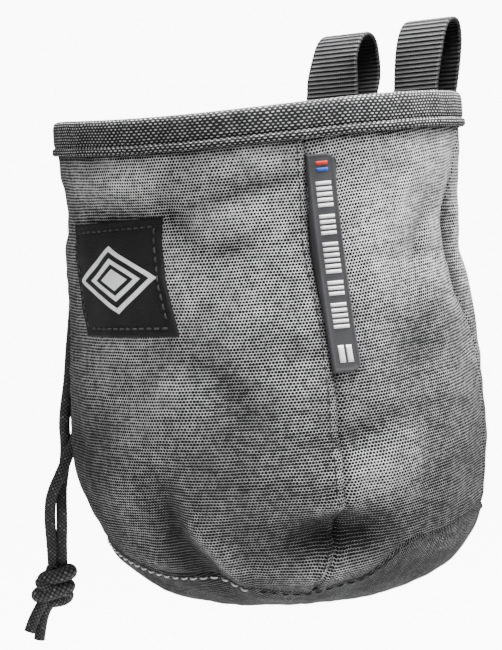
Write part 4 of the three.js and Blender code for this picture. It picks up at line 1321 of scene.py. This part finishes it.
class CHALKBAG_OT_seam_tag(bpy.types.Operator):
    """Mould the rubber tag into the front right seam"""

    bl_idname = "chalkbag.seam_tag"
    bl_label = "Add seam tag"

    def execute(self, context):
        trim = context.scene.chalkbag_trim
        u, v = np.meshgrid(np.linspace(0.0, 1.0, 41), np.linspace(0.0, 1.0, 241))
        across = u * TAG_WIDTH
        beyond = np.maximum(0.0, across - (TAG_WIDTH - TAG_CORNER))
        cut = TAG_CORNER - np.sqrt(TAG_CORNER**2 - beyond**2)
        down = cut + (TAG_LENGTH - 2 * cut) * v
        angle, share = tag_place(across, down)
        edge = from_edge(u, v, TAG_WIDTH, TAG_LENGTH - 2 * cut)
        rim = 0.16 * np.exp(-((edge - 0.75) / 0.3)**2)
        off = 0.1 + tag_rise(across) * rounded(edge / 0.45) + rim
        shape = Shape()
        surface = side_by_side(across, down) * MM
        shape.add_sheet(tag_face(across, down, off), wall(angle, share, -0.2), surface)
        shape.build("seam_tag_rubber", rubber_material("tag rubber", trim.tag_rubber), ["seam_tag"])
        self.add_marks(trim)
        return {"FINISHED"}

    def add_marks(self, trim):
        """Raised marks along the tag: short bars in groups, two upright bars at the foot and two coloured
        ones at the top."""
        shape = Shape()
        down = 7.5
        for bars in (5, 4, 6, 3, 5):
            for _ in range(bars):
                self.add_bar(shape, 2.2, 6.7, down, 0.9)
                down += 1.45
            down += 1.5
        for side in (-1, 1):
            self.add_bar(shape, 4.4 + side * 1.15 - 0.8, 4.4 + side * 1.15 + 0.8, 50.8, 4.6)
        shape.build("seam_tag_marks", rubber_material("tag marks", trim.tag_marks))
        for name, down, color in (
            ("seam_tag_red", 2.2, (0.55, 0.03, 0.02)), ("seam_tag_blue", 3.9, (0.02, 0.08, 0.4)),
        ):
            shape = Shape()
            self.add_bar(shape, 2.6, 6.2, down, 1.0)
            shape.build(name, rubber_material(name, color))

    def add_bar(self, shape, low, high, down, width):
        """A bar on the tag with eased edges, 0.35 mm proud of it."""
        u, v = np.meshgrid(np.linspace(0.0, 1.0, 11), np.linspace(0.0, 1.0, 7))
        across, run = low + (high - low) * u, down + width * v
        base = tag_rise(across)
        top = base + 0.13 + 0.22 * ease(from_edge(u, v, high - low, width) / 0.25)
        surface = side_by_side(across, run) * MM
        shape.add_sheet(tag_face(across, run, top), tag_face(across, run, base), surface)


class CHALKBAG_OT_stitching(bpy.types.Operator):
    """Run the topstitching beside the seams"""

    bl_idname = "chalkbag.stitching"
    bl_label = "Add stitching"

    def execute(self, context):
        cloth = context.scene.chalkbag_cloth
        depth = cloth.seam_depth / MM
        dark = Shape()
        v = np.linspace(0.03, 0.985, 500)
        angle = blend_rows(TAG_SEAM, v) - math.degrees(STITCH_BESIDE / BAG_RADIUS)
        share = TOP_SHARE + (base_share(angle) - TOP_SHARE) * v
        path = wall(angle, share, front_off(angle, share, depth) + 0.1)
        self.sew(dark, cloth, path, wall_normal(angle, share), SIDE_THREAD)
        dark.build("side_seam_stitches", thread_material("dark thread", (0.03, 0.03, 0.032)))
        for name, first, last, color in (
            # One pale thread all round: the run from the front right round the back is painted dark, a painted
            # shade
            ("bottom_seam_stitches_left", -118.0, 24.0, (0.8, 0.8, 0.81)),
            ("bottom_seam_stitches_painted_shade", 24.0, 242.0, (0.05, 0.05, 0.052)),
        ):
            thread = Shape()
            angle = np.linspace(first, last, 1100)
            share = base_share(angle) + STITCH_BELOW / SECTION_LENGTH
            path = wall(angle, share, np.full_like(angle, 0.15))
            self.sew(thread, cloth, path, wall_normal(angle, share), BOTTOM_THREAD)
            thread.build(name, thread_material(name, color))
        return {"FINISHED"}

    def sew(self, shape, cloth, path, normal, width):
        add_stitches(shape, path, normal, cloth.stitch_length, cloth.stitch_pitch, width)


class CHALKBAG_OT_eyelet(bpy.types.Operator):
    """Finish the eyelet that the drawcord leaves through"""

    bl_idname = "chalkbag.eyelet"
    bl_label = "Finish eyelet"

    def execute(self, context):
        material, net, shader, _ = new_material("black eyelet", 0.4)
        tone = paint(net, shader, (0.02, 0.02, 0.022, 1.0), 0.4, 300.0)
        shader.inputs["Metallic"].default_value = 0.6
        net.feed(shader.inputs["Roughness"], net.plus(0.3, net.times(tone, 0.25)))
        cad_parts["cord_eyelet"].material_slots[0].material = material
        return {"FINISHED"}


class CHALKBAG_PT_panel(bpy.types.Panel):
    bl_idname = "CHALKBAG_PT_panel"
    bl_label = "Chalk bag"
    bl_space_type = "VIEW_3D"
    bl_region_type = "UI"
    bl_category = "Chalk bag"

    def draw(self, context):
        for operator in OPERATORS:
            self.layout.operator(operator.bl_idname)
        for name in SETTINGS:
            group = getattr(context.scene, name)
            for key in group.bl_rna.properties.keys():
                if key not in ("rna_type", "name"):
                    self.layout.prop(group, key)


OPERATORS = (
    CHALKBAG_OT_stage, CHALKBAG_OT_drawcord, CHALKBAG_OT_panels, CHALKBAG_OT_rim_band, CHALKBAG_OT_belt_loops,
    CHALKBAG_OT_label, CHALKBAG_OT_seam_tag, CHALKBAG_OT_stitching, CHALKBAG_OT_eyelet,
)
SETTINGS = {
    "chalkbag_cloth": ClothSettings, "chalkbag_trim": TrimSettings, "chalkbag_cord": CordSettings,
    "chalkbag_stage": StageSettings,
}


def register():
    for group in SETTINGS.values():
        bpy.utils.register_class(group)
    for name, group in SETTINGS.items():
        setattr(bpy.types.Scene, name, PointerProperty(type=group))
    for item in (*OPERATORS, CHALKBAG_PT_panel):
        bpy.utils.register_class(item)


def unregister():
    for item in (CHALKBAG_PT_panel, *reversed(OPERATORS)):
        bpy.utils.unregister_class(item)
    for name, group in SETTINGS.items():
        delattr(bpy.types.Scene, name)
        bpy.utils.unregister_class(group)


def main():
    register()
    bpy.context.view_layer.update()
    bpy.ops.chalkbag.stage()
    bpy.ops.chalkbag.drawcord()
    bpy.ops.chalkbag.panels()
    bpy.ops.chalkbag.rim_band()
    bpy.ops.chalkbag.belt_loops()
    bpy.ops.chalkbag.label()
    bpy.ops.chalkbag.seam_tag()
    bpy.ops.chalkbag.stitching()
    bpy.ops.chalkbag.eyelet()


if __name__ == "__main__":
    main()
